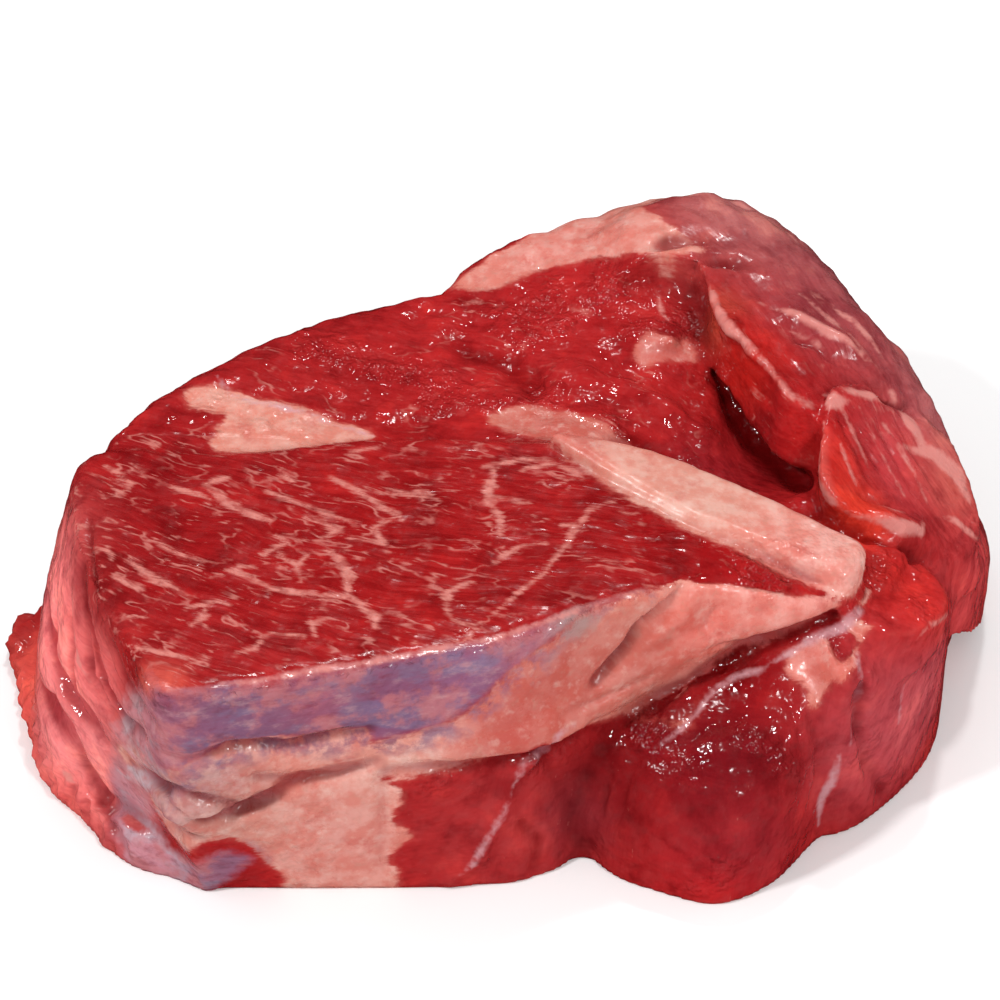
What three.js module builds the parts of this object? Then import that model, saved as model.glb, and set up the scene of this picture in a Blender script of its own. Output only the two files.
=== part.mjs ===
// A boneless beef steak, cut thick across the shoulder and lying on one cut face.
//
// It is one solid. Several muscles meet in it: the eye, with a flat marbled face, at the front left; the
// rear muscle behind it; the cap, which rises over a deep cleft at the back right; and lobes that bulge
// from under the eye's fat seam at the front right. Each muscle is a distance field over its plan outline
// and up to its cut face, the fields blend into one another, and the surface where the result is zero
// becomes the mesh.
//
// Millimetres. +X runs along the steak, +Y from its front wall to its back and +Z up. The outlines are drawn
// round a point near the middle, and the finished steak is moved so that its own middle is over the origin.

import * as THREE from "three";
import { SimplifyModifier } from "three/addons/modifiers/SimplifyModifier.js";

const { clamp, mapLinear, smoothstep } = THREE.MathUtils;

// Driving dimensions
const THICKNESS = 56; // the eye's cut face above the board
const REACH = { x: 100, y: 75, z: 70 }; // half length, half depth and height that hold the steak
const MIDDLE = { x: 0.4, y: -3.5 }; // the middle of its footprint, as the outlines are drawn
const GRID = 1.5; // spacing of the grid on which the fields are sampled
const KEPT_VERTICES = 5600; // what the mesh is simplified to

// Plan outlines, each smoothed into a closed curve
const EYE_OUTLINE = [
  [-73, -9], [-74, -26], [-69, -46], [-62, -62], [-55, -72], [-41, -70], [-20, -65], [0, -59],
  [17, -50], [33, -44], [50, -42], [64, -37], [72, -29], [72, -16], [62, -10], [48, -10], [22, -7],
  [0, -5], [-24, -5], [-50, -9],
];
const REAR_OUTLINE = [
  [-71, -8], [-66, 6], [-52, 21], [-38, 31], [-24, 38], [-12, 41], [-7, 47], [4, 54], [22, 60], [36, 65],
  [48, 62], [54, 40], [58, 10], [62, -10], [40, -20], [0, -20], [-50, -20],
];
const CAP_OUTLINE = [
  [21, 38], [19, 48], [23, 56], [31, 61], [39, 63], [46, 62], [53, 58], [59, 52], [65, 43], [69, 35],
  [76, 25], [83, 14], [87, 5], [84, -4], [76, -12], [60, -14], [44, -8], [30, 6], [22, 24],
];
const CAP_CUT_OUTLINE = [
  [10, 40], [22, 36], [30, 37], [37, 34], [39, 26], [41, 18], [48, 7], [52, 0], [58, -2], [66, -6],
  [120, -20], [120, 40], [100, 100], [40, 100], [0, 80],
];
const TONGUE_OUTLINE = [
  [60, 3], [58, -5], [57, -12], [59, -17], [66, -20], [73, -20], [80, -18], [85, -14], [88, -7],
  [86, 2], [80, 8], [66, 8],
];
const ROUND_LOBE_OUTLINE = [
  [12, -50], [19, -60], [28, -65], [38, -68], [47, -64], [54, -56], [62, -42], [56, -26], [28, -26],
];
const RIGHT_LOBE_OUTLINE = [
  [54, -40], [58, -50], [64, -49], [73, -40], [79, -31], [82, -21], [83, -8], [78, -4], [64, -12],
  [52, -28],
];
const WEDGE_OUTLINE = [
  [60, -40], [67, -43], [74, -40], [79, -33], [79, -28], [74, -21], [66, -16], [58, -20], [54, -30],
];
const HEEL_OUTLINE = [
  [74, -14], [83, -14], [88, -9], [92, 2], [94, 15], [93, 28], [86, 36], [74, 30],
];
const SKIRT_OUTLINE = [
  [-93, 0], [-91, -12], [-86, -27], [-78, -43], [-69, -56], [-60, -61], [-50, -60], [-50, -20],
  [-70, 4], [-84, 5],
];
const FAT_BAR_OUTLINE = [
  [9, -8], [21, -8], [30, -10], [38, -14], [47, -19], [57, -25], [64, -30], [61, -37], [53, -36],
  [44, -32], [34, -28], [25, -22], [16, -15],
];

// Cut faces: the level at one place, a tilt per mm in x and y, and hills as x, y, radius and rise, where a
// rise below zero is a hollow
const EYE_FACE = { level: THICKNESS, hills: [[85, -40, 35, -16], [53, -8, 12, -9]] };
const REAR_FACE = {
  level: THICKNESS - 1,
  hills: [[50, -2, 20, -11], [24, 50, 22, 7], [0, 50, 10, 2], [-20, 0, 22, -2]],
};
const CAP_FACE = {
  level: THICKNESS + 8,
  at: [44, 0],
  tilt: [-0.12, 0],
  hills: [[44, 50, 20, 2], [95, -10, 28, -22], [72, -28, 18, -12]],
};
const TONGUE_FACE = { level: THICKNESS + 2, at: [58, -6], tilt: [-0.7, 0.45], hills: [[70, -19, 6, 3.5]] };
const ROUND_LOBE_FACE = { level: 35, at: [40, -48], tilt: [0.3, 0.5] };
const RIGHT_LOBE_FACE = { level: 42, at: [60, -42], tilt: [-0.5, 0.1] };
const WEDGE_FACE = { level: 45, at: [60, -36], tilt: [-0.3, 0.08] };
const HEEL_FACE = { level: 31, at: [84, 0], tilt: [-0.8, -0.35] };
const SKIRT_FACE = { level: 9, hills: [[-94, -10, 16, -4]] };
const FAT_BAR_FACE = { level: THICKNESS + 2, at: [20, -12], tilt: [-0.14, 0] };
const TALL = { level: 2 * THICKNESS };

// Relief on the surface: paths through x, y, z with the depth and half width of the crease pressed along
// them, where a depth below zero raises a welt
const CREASES = [
  // The onion layers and the leaf of the left wall
  { depth: 1.6, width: 1.6, path: [[-73, -38, 53], [-70, -50, 44], [-69, -53, 38], [-65, -59, 35], [-61, -64, 38]] },
  { depth: 1.2, width: 1.4, path: [[-66, -56, 50], [-64, -59, 46], [-59, -69, 45]] },
  { depth: 2.2, width: 2, path: [[-82, -26, 34], [-79, -40, 30], [-77, -46, 29], [-70, -54, 26], [-66, -58, 24]] },
  { depth: 2.2, width: 2, path: [[-85, -26, 18], [-80, -40, 19], [-77, -48, 16], [-72, -52, 10], [-68, -58, 5]] },
  // The folds of the fat on the front wall, and the edge of its silverskin
  { depth: 1, width: 1.5, path: [[-55, -71, 39], [-45, -70, 41], [-34, -68, 39], [-22, -65, 40]] },
  { depth: 1.6, width: 1.5, path: [[-41, -69, 32], [-35, -67, 30], [-28, -66, 31], [-21, -65, 32]] },
  { depth: 2, width: 1.6, path: [[-51, -69, 23], [-44, -68, 24], [-39, -67, 27], [-34, -67, 30]] },
  { depth: 1.6, width: 1.5, path: [[-66, -57, 24], [-60, -64, 27], [-55, -70, 31], [-46, -69, 26]] },
  { depth: 1.6, width: 1.5, path: [[-60, -63, 20], [-57, -66, 19], [-52, -69, 17]] },
  { depth: -1.2, width: 2.5, path: [[-60, -65, 23], [-54, -70, 26], [-46, -70, 24]] },
  // The fat seam, its lower edge and its sharp fold
  { depth: -1.6, width: 4, path: [[60, -39, 47], [40, -44, 44], [28, -48, 38], [18, -52, 34], [4, -60, 32], [-8, -64, 33]] },
  { depth: 2, width: 1.8, path: [[58, -40, 44], [45, -43, 40], [33, -45, 32], [21, -52, 29], [8, -57, 29], [-4, -62, 29], [-19, -65, 29]] },
  { depth: 2, width: 1.2, path: [[33, -44, 55], [27, -47, 47], [21, -50, 42], [17, -52, 39]] },
  { depth: 1, width: 1.5, path: [[-20, -65, 28], [-21, -65, 6]] },
  // The grooves of the lean below it, and where the lobes meet
  { depth: 1.2, width: 1.5, path: [[4, -61, 13], [7, -60, 8], [6, -61, 2]] },
  { depth: 1.2, width: 1.5, path: [[8, -58, 27], [12, -58, 13], [12, -59, 6]] },
  { depth: 1.4, width: 2.5, path: [[15, -58, 0], [13, -58, 12], [16, -57, 22], [22, -52, 29]] },
  { depth: 1.2, width: 1.5, path: [[61, -42, 37], [63, -50, 33], [64, -51, 27], [67, -48, 15], [69, -44, 4]] },
  { depth: -1, width: 1.4, path: [[14, -55, 32], [8, -59, 29], [2, -62, 24], [1, -62, 18], [-3, -64, 8], [-9, -64, 2]] },
  // The valley behind the bar of fat, and the hollow in the rear muscle
  { depth: 4, width: 4, path: [[24, -4, 53], [34, -9, 50], [44, -15, 47]] },
  { depth: 2.5, width: 2.5, path: [[40, 20, 50], [44, 10, 47], [49, 3, 45], [55, -5, 45]] },
  { depth: 2, width: 1.8, path: [[60, -20, 45], [66, -22, 44], [73, -22, 42], [79, -19, 39]] },
  { depth: 1.6, width: 3, path: [[-6, 21, 55], [2, 18, 55], [5, 11, 55]] },
  { depth: -2, width: 3, path: [[16, 13, 55], [27, 8, 53], [38, 4, 48]] },
  { depth: -1.6, width: 4, path: [[26, 23, 56], [31, 24, 56]] },
  // The furrows of the cap
  { depth: 1.5, width: 2, path: [[30, 40, 65], [35, 42, 67], [42, 41, 67]] },
  { depth: 1.2, width: 1.5, path: [[37, 36, 64], [46, 35, 65]] },
  { depth: -1.2, width: 2, path: [[54, 24, 63], [60, 20, 61], [68, 14, 57]] },
];
const CREASE_REACH = 6; // creases are felt this close to the surface
for (const crease of CREASES) {
  const points = crease.path.map((point) => new THREE.Vector3(...point));
  crease.bounds = new THREE.Box3().setFromPoints(points);
  crease.segments = points.slice(1).map((end, i) => new THREE.Line3(points[i], end));
}
const NEAREST = new THREE.Vector3();

// A closed Catmull-Rom curve through the named points, as a polygon of short straight sides.
function smoothOutline(points, sidesPerPoint = 5) {
  const corners = points.map(([x, y]) => new THREE.Vector3(x, y, 0));
  const curve = new THREE.CatmullRomCurve3(corners, true, "catmullrom", 0.5);
  const divisions = points.length * sidesPerPoint;
  return curve.getPoints(divisions).slice(0, divisions);
}

// Distance from a plan position to a polygon, below zero inside it.
function planDistance(polygon, x, y) {
  let nearest = Infinity;
  let inside = false;
  polygon.forEach((a, i) => {
    const b = polygon[(i + 1) % polygon.length];
    const [dx, dy] = [b.x - a.x, b.y - a.y];
    const along = clamp(((x - a.x) * dx + (y - a.y) * dy) / (dx * dx + dy * dy), 0, 1);
    nearest = Math.min(nearest, Math.hypot(x - a.x - along * dx, y - a.y - along * dy));
    if (a.y > y !== b.y > y && x < a.x + (dx * (y - a.y)) / dy) inside = !inside;
  });
  return inside ? -nearest : nearest;
}

function faceHeight({ level, at = [0, 0], tilt = [0, 0], hills = [] }, x, y) {
  let height = level + tilt[0] * (x - at[0]) + tilt[1] * (y - at[1]);
  for (const [hillX, hillY, radius, rise] of hills) {
    height += rise * Math.exp(-((x - hillX) ** 2 + (y - hillY) ** 2) / radius ** 2);
  }
  return height;
}

// The corner between a wall and a face, rounded to the radius.
function roundedCorner(wall, face, radius) {
  const outside = Math.hypot(Math.max(wall + radius, 0), Math.max(face + radius, 0));
  return outside + Math.min(Math.max(wall + radius, face + radius), 0) - radius;
}

// A union whose inner corner is filled over about the blend's width.
function blendedUnion(a, b, blend) {
  const share = Math.max(blend - Math.abs(a - b), 0) / blend;
  return Math.min(a, b) - share * share * blend * 0.25;
}

// How far the creases press the surface in at a point.
function creaseDepth(point) {
  let depth = 0;
  for (const crease of CREASES) {
    if (crease.bounds.distanceToPoint(point) > 2 * crease.width) continue;
    const nearest = Math.min(...crease.segments.map((s) => s.closestPointToPoint(point, true, NEAREST)
      .distanceTo(point)));
    depth += crease.depth * Math.exp(-((nearest / crease.width) ** 2));
  }
  return depth;
}

// A muscle inside its outline, from the board or a thickness below its cut face up to that face. It gives
// the distances along one upright line at a time. spread says how far its wall stands outside the outline.
function muscle({ outline, face, edge, spread = () => 0, thickness = Infinity }) {
  const polygon = smoothOutline(outline);
  return (x, y) => {
    const wall = planDistance(polygon, x, y);
    const height = faceHeight(face, x, y);
    return (z) => {
      const solid = roundedCorner(wall - spread(x, y, z), z - height, edge);
      return Math.max(solid, height - thickness - z);
    };
  };
}

// The eye's left wall leans out to the board. Its front wall leans in at the left and out near the middle.
function eyeSpread(x, y, z) {
  const down = clamp(1 - z / THICKNESS, 0, 1);
  const left = 12 * down ** 0.9 * smoothstep(-x, 45, 70) * smoothstep(y, -76, -30);
  const front = down * smoothstep(-y, 40, 56) * clamp(mapLinear(x, 5, -50, 5, -8), -8, 5);
  return left + front + 2.5 * Math.sin(Math.PI * down) * smoothstep(-x, 20, 60) * smoothstep(-y, 0, 30);
}

// The cut face of the cap leans out as it goes down. Below its lower rim it draws back over the cleft.
function capCutSpread(x, y, z) {
  const rim = 54 - 0.47 * (x - 40);
  const lean = 0.25 * clamp(THICKNESS + 6 - z, 0, 14) * smoothstep(x, 36, 46);
  return lean - 8 * smoothstep(rim - z, 0, 4) * smoothstep(x, 36, 44);
}

// What the steak is made of, with the width over which each piece blends into those before it
const PIECES = [
  [muscle({ outline: REAR_OUTLINE, face: REAR_FACE, edge: 5 }), 5],
  [muscle({ outline: TONGUE_OUTLINE, face: TONGUE_FACE, edge: 1, thickness: 9 }), 1],
  [muscle({ outline: EYE_OUTLINE, face: EYE_FACE, edge: 3, spread: eyeSpread }), 1],
  [muscle({ outline: WEDGE_OUTLINE, face: WEDGE_FACE, edge: 1, thickness: 9 }), 1],
  [muscle({ outline: HEEL_OUTLINE, face: HEEL_FACE, edge: 6, thickness: 20 }), 4],
  [muscle({ outline: ROUND_LOBE_OUTLINE, face: ROUND_LOBE_FACE, edge: 14 }), 3],
  [muscle({ outline: RIGHT_LOBE_OUTLINE, face: RIGHT_LOBE_FACE, edge: 6 }), 3],
  [muscle({ outline: SKIRT_OUTLINE, face: SKIRT_FACE, edge: 2 }), 3],
  [muscle({ outline: FAT_BAR_OUTLINE, face: FAT_BAR_FACE, edge: 2, thickness: 12 }), 1],
];
const CAP_BODY = muscle({ outline: CAP_OUTLINE, face: CAP_FACE, edge: 11 });
const CAP_CUT = muscle({ outline: CAP_CUT_OUTLINE, face: TALL, edge: 1, spread: capCutSpread });

// The steak's distance field along the upright line at x, y.
function steakColumn(x, y) {
  const capBody = CAP_BODY(x, y);
  const capCut = CAP_CUT(x, y);
  const columns = PIECES.map(([piece, blend]) => [piece(x, y), blend]);
  return (z) => {
    let field = Math.max(capBody(z), capCut(z));
    for (const [column, blend] of columns) field = blendedUnion(field, column(z), blend);
    if (Math.abs(field) < CREASE_REACH) field += creaseDepth(new THREE.Vector3(x, y, z));
    return Math.max(field, -z);
  };
}

// The six tetrahedra that fill a grid cell: each walks from its low corner to its high one, an axis at a time.
const CELL_WALKS = [[1, 2, 4], [1, 4, 2], [2, 1, 4], [2, 4, 1], [4, 1, 2], [4, 2, 1]].map(
  ([first, second], walk) => ({
    corners: [0, first, first | second, 7],
    mirrored: [1, 2, 5].includes(walk),
  }),
);

// The zero surface of a field sampled on a grid. Each tetrahedron that the surface crosses gives one
// triangle, or two where it parts the corners two and two.
function surfaceOf(columnAt, low, counts, step) {
  const [nx, ny, nz] = counts;
  const values = new Float32Array(nx * ny * nz);
  const place = (node) => [
    low.x + (node % nx) * step,
    low.y + (Math.floor(node / nx) % ny) * step,
    low.z + Math.floor(node / (nx * ny)) * step,
  ];
  const clear = 0.05 * step; // keeps every crossing off the grid's nodes
  for (let foot = 0; foot < nx * ny; foot++) {
    const [x, y] = place(foot);
    const column = columnAt(x, y);
    for (let node = foot; node < values.length; node += nx * ny) {
      const value = column(place(node)[2]);
      values[node] = value < 0 ? Math.min(value, -clear) : Math.max(value, clear);
    }
  }

  const positions = [];
  const index = [];
  const vertexOf = new Map();
  const crossing = (a, b) => {
    const key = Math.min(a, b) * values.length + Math.max(a, b);
    if (!vertexOf.has(key)) {
      const share = values[a] / (values[a] - values[b]);
      const [from, to] = [place(a), place(b)];
      vertexOf.set(key, positions.length / 3);
      positions.push(...from.map((start, axis) => start + (to[axis] - start) * share));
    }
    return vertexOf.get(key);
  };

  for (let node = 0; node < values.length - nx * ny; node++) {
    const [i, j] = [node % nx, Math.floor(node / nx) % ny];
    if (i === nx - 1 || j === ny - 1) continue;
    for (const { corners, mirrored } of CELL_WALKS) {
      const nodes = corners.map((c) => node + (c & 1) + (c & 2 ? nx : 0) + (c & 4 ? nx * ny : 0));
      const inside = nodes.filter((n) => values[n] < 0);
      if (inside.length === 0 || inside.length === 4) continue;
      const outside = nodes.filter((n) => values[n] >= 0);
      const sorted = [...inside, ...outside].map((n) => nodes.indexOf(n));
      let swapped = mirrored;
      for (let a = 0; a < 4; a++) {
        for (let b = a + 1; b < 4; b++) {
          if (sorted[a] > sorted[b]) swapped = !swapped;
        }
      }
      const ring = inside.length === 2
        ? [[0, 0], [0, 1], [1, 1], [1, 0]].map(([a, b]) => crossing(inside[a], outside[b]))
        : inside.flatMap((a) => outside.map((b) => crossing(a, b)));
      if (swapped) ring.reverse();
      for (let corner = 1; corner < ring.length - 1; corner++) {
        index.push(ring[0], ring[corner], ring[corner + 1]);
      }
    }
  }
  const geometry = new THREE.BufferGeometry();
  geometry.setAttribute("position", new THREE.Float32BufferAttribute(positions, 3));
  geometry.setIndex(index);
  return geometry;
}

// Simplifying folds a few slivers flat, which leaves two triangles back to back. Both go.
function dropFlatFolds(geometry) {
  const corners = [...geometry.index.array];
  const triangles = [];
  for (let corner = 0; corner < corners.length; corner += 3) triangles.push(corners.slice(corner, corner + 3));
  const keyOf = (triangle) => [...triangle].sort().join();
  const uses = new Map();
  for (const triangle of triangles) uses.set(keyOf(triangle), (uses.get(keyOf(triangle)) ?? 0) + 1);
  geometry.setIndex(triangles.filter((triangle) => uses.get(keyOf(triangle)) === 1).flat());
  return geometry;
}

async function steakGeometry() {
  const margin = 2 * GRID;
  const low = new THREE.Vector3(-REACH.x - margin, -REACH.y - margin, -margin + GRID / 2);
  const counts = [
    Math.ceil((2 * REACH.x + 2 * margin) / GRID),
    Math.ceil((2 * REACH.y + 2 * margin) / GRID),
    Math.ceil((REACH.z + 2 * margin) / GRID),
  ];
  const fine = surfaceOf(steakColumn, low, counts, GRID);
  const surplus = fine.getAttribute("position").count - KEPT_VERTICES;
  return dropFlatFolds(await new SimplifyModifier().modify(fine, surplus));
}

const steak = new THREE.Mesh(
  await steakGeometry(),
  new THREE.MeshStandardMaterial({ color: 0xa8232a, roughness: 0.35, metalness: 0 }),
);
steak.name = "steak";
steak.position.set(-MIDDLE.x, -MIDDLE.y, 0);

const part = new THREE.Group();
part.add(steak);

export default part;
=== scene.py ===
# A thick boneless beef steak on a pale floor.
#
# The steak is one mesh. Its muscles are distance fields over plan outlines, as in the solid, sampled on a
# finer grid. Creases and welts are pressed into the surface, fine relief is added to it, and the marks of
# fat, silverskin and marbling are stored on its vertices for one material to read. Lengths are in
# millimetres until the mesh is built.

import math

import bpy
import numpy as np
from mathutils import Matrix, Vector


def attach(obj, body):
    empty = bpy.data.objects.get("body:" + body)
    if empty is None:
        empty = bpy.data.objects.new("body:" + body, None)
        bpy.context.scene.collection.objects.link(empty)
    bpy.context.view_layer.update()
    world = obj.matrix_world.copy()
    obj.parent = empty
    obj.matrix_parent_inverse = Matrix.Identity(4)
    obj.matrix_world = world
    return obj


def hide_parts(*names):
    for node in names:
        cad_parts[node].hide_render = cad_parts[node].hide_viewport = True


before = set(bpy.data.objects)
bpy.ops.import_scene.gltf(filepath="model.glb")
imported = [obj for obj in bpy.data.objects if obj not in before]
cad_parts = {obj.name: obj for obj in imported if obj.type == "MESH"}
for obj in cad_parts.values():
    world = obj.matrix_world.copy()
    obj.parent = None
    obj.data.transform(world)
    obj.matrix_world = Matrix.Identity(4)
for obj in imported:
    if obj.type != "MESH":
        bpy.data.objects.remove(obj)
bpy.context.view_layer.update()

MM = 0.001
THICKNESS = 56.0  # the eye's cut face above the board
REACH = (100.0, 75.0, 70.0)  # half length, half depth and height that hold the steak
MIDDLE = (0.4, -3.5)  # the middle of its footprint, as the outlines are drawn
GRID = 1.0  # spacing of the grid on which the fields are sampled
FAR = 6.0  # marks are measured this far from their edges
PATCH_FLOOR = 46.0  # patches that are seen from above lie higher than this
PATCH_BACK = -34.0  # patches that are seen from the front lie in front of this

# Plan outlines, each smoothed into a closed curve
EYE_OUTLINE = [
    (-73, -9), (-74, -26), (-69, -46), (-62, -62), (-55, -72), (-41, -70), (-20, -65), (0, -59),
    (17, -50), (33, -44), (50, -42), (64, -37), (72, -29), (72, -16), (62, -10), (48, -10), (22, -7),
    (0, -5), (-24, -5), (-50, -9),
]
REAR_OUTLINE = [
    (-71, -8), (-66, 6), (-52, 21), (-38, 31), (-24, 38), (-12, 41), (-7, 47), (4, 54), (22, 60), (36, 65),
    (48, 62), (54, 40), (58, 10), (62, -10), (40, -20), (0, -20), (-50, -20),
]
CAP_OUTLINE = [
    (21, 38), (19, 48), (23, 56), (31, 61), (39, 63), (46, 62), (53, 58), (59, 52), (65, 43), (69, 35),
    (76, 25), (83, 14), (87, 5), (84, -4), (76, -12), (60, -14), (44, -8), (30, 6), (22, 24),
]
CAP_CUT_OUTLINE = [
    (10, 40), (22, 36), (30, 37), (37, 34), (39, 26), (41, 18), (48, 7), (52, 0), (58, -2), (66, -6),
    (120, -20), (120, 40), (100, 100), (40, 100), (0, 80),
]
TONGUE_OUTLINE = [
    (60, 3), (58, -5), (57, -12), (59, -17), (66, -20), (73, -20), (80, -18), (85, -14), (88, -7),
    (86, 2), (80, 8), (66, 8),
]
ROUND_LOBE_OUTLINE = [
    (12, -50), (19, -60), (28, -65), (38, -68), (47, -64), (54, -56), (62, -42), (56, -26), (28, -26),
]
RIGHT_LOBE_OUTLINE = [
    (54, -40), (58, -50), (64, -49), (73, -40), (79, -31), (82, -21), (83, -8), (78, -4), (64, -12),
    (52, -28),
]
WEDGE_OUTLINE = [
    (60, -40), (67, -43), (74, -40), (79, -33), (79, -28), (74, -21), (66, -16), (58, -20), (54, -30),
]
HEEL_OUTLINE = [
    (74, -14), (83, -14), (88, -9), (92, 2), (94, 15), (93, 28), (86, 36), (74, 30),
]
SKIRT_OUTLINE = [
    (-93, 0), (-91, -12), (-86, -27), (-78, -43), (-69, -56), (-60, -61), (-50, -60), (-50, -20),
    (-70, 4), (-84, 5),
]
FAT_BAR_OUTLINE = [
    (9, -8), (21, -8), (30, -10), (38, -14), (47, -19), (57, -25), (64, -30), (61, -37), (53, -36),
    (44, -32), (34, -28), (25, -22), (16, -15),
]

# Cut faces: the level at one place, a tilt per mm in x and y, and hills as x, y, radius and rise, where a
# rise below zero is a hollow
EYE_FACE = {"level": THICKNESS, "hills": [(85, -40, 35, -16), (53, -8, 12, -9)]}
REAR_FACE = {
    "level": THICKNESS - 1,
    "hills": [(50, -2, 20, -11), (24, 50, 22, 7), (0, 50, 10, 2), (-20, 0, 22, -2)],
}
CAP_FACE = {
    "level": THICKNESS + 8,
    "at": (44, 0),
    "tilt": (-0.12, 0),
    "hills": [(44, 50, 20, 2), (95, -10, 28, -22), (72, -28, 18, -12)],
}
TONGUE_FACE = {"level": THICKNESS + 2, "at": (58, -6), "tilt": (-0.7, 0.45), "hills": [(70, -19, 6, 3.5)]}
ROUND_LOBE_FACE = {"level": 35, "at": (40, -48), "tilt": (0.3, 0.5)}
RIGHT_LOBE_FACE = {"level": 42, "at": (60, -42), "tilt": (-0.5, 0.1)}
WEDGE_FACE = {"level": 45, "at": (60, -36), "tilt": (-0.3, 0.08)}
HEEL_FACE = {"level": 31, "at": (84, 0), "tilt": (-0.8, -0.35)}
SKIRT_FACE = {"level": 9, "hills": [(-94, -10, 16, -4)]}
FAT_BAR_FACE = {"level": THICKNESS + 2, "at": (20, -12), "tilt": (-0.14, 0)}
TALL = {"level": 2 * THICKNESS}

# Creases pressed along paths through x, y, z, with their depth and half width. A depth below zero raises a
# welt.
CREASES = [
    # The onion layers and the leaf of the left wall
    (1.6, 1.6, [(-73, -38, 53), (-70, -50, 44), (-69, -53, 38), (-65, -59, 35), (-61, -64, 38)]),
    (1.2, 1.4, [(-66, -56, 50), (-64, -59, 46), (-59, -69, 45)]),
    (2.2, 2, [(-82, -26, 34), (-79, -40, 30), (-77, -46, 29), (-70, -54, 26), (-66, -58, 24)]),
    (2.2, 2, [(-85, -26, 18), (-80, -40, 19), (-77, -48, 16), (-72, -52, 10), (-68, -58, 5)]),
    # The folds of the fat on the front wall, and the edge of its silverskin
    (1, 1.5, [(-55, -71, 39), (-45, -70, 41), (-34, -68, 39), (-22, -65, 40)]),
    (1.6, 1.5, [(-41, -69, 32), (-35, -67, 30), (-28, -66, 31), (-21, -65, 32)]),
    (2, 1.6, [(-51, -69, 23), (-44, -68, 24), (-39, -67, 27), (-34, -67, 30)]),
    (1.6, 1.5, [(-66, -57, 24), (-60, -64, 27), (-55, -70, 31), (-46, -69, 26)]),
    (1.6, 1.5, [(-60, -63, 20), (-57, -66, 19), (-52, -69, 17)]),
    (-1.2, 2.5, [(-60, -65, 23), (-54, -70, 26), (-46, -70, 24)]),
    # The fat seam, its lower edge and its sharp fold
    (-1.6, 4, [(60, -39, 47), (40, -44, 44), (28, -48, 38), (18, -52, 34), (4, -60, 32), (-8, -64, 33)]),
    (2, 1.8, [
        (58, -40, 44), (45, -43, 40), (33, -45, 32), (21, -52, 29), (8, -57, 29), (-4, -62, 29),
        (-19, -65, 29),
    ]),
    (2, 1.2, [(33, -44, 55), (27, -47, 47), (21, -50, 42), (17, -52, 39)]),
    (1, 1.5, [(-20, -65, 28), (-21, -65, 6)]),
    # The grooves of the lean below it, and where the lobes meet
    (1.2, 1.5, [(4, -61, 13), (7, -60, 8), (6, -61, 2)]),
    (1.2, 1.5, [(8, -58, 27), (12, -58, 13), (12, -59, 6)]),
    (1.4, 2.5, [(15, -58, 0), (13, -58, 12), (16, -57, 22), (22, -52, 29)]),
    (1.2, 1.5, [(61, -42, 37), (63, -50, 33), (64, -51, 27), (67, -48, 15), (69, -44, 4)]),
    (-1, 1.4, [(14, -55, 32), (8, -59, 29), (2, -62, 24), (1, -62, 18), (-3, -64, 8), (-9, -64, 2)]),
    # The valley behind the bar of fat, and the hollow in the rear muscle
    (4, 4, [(24, -4, 53), (34, -9, 50), (44, -15, 47)]),
    (2.5, 2.5, [(40, 20, 50), (44, 10, 47), (49, 3, 45), (55, -5, 45)]),
    (2, 1.8, [(60, -20, 45), (66, -22, 44), (73, -22, 42), (79, -19, 39)]),
    (1.6, 3, [(-6, 21, 55), (2, 18, 55), (5, 11, 55)]),
    (-2, 3, [(16, 13, 55), (27, 8, 53), (38, 4, 48)]),
    (-1.6, 4, [(26, 23, 56), (31, 24, 56)]),
    # The furrows of the cap
    (1.5, 2, [(30, 40, 65), (35, 42, 67), (42, 41, 67)]),
    (1.2, 1.5, [(37, 36, 64), (46, 35, 65)]),
    (-1.2, 2, [(54, 24, 63), (60, 20, 61), (68, 14, 57)]),
]
CREASE_REACH = 6.0  # creases are felt this close to the surface
FOLD_TAPER = 0.35  # the share of a fold, at each end, over which it fades

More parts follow.
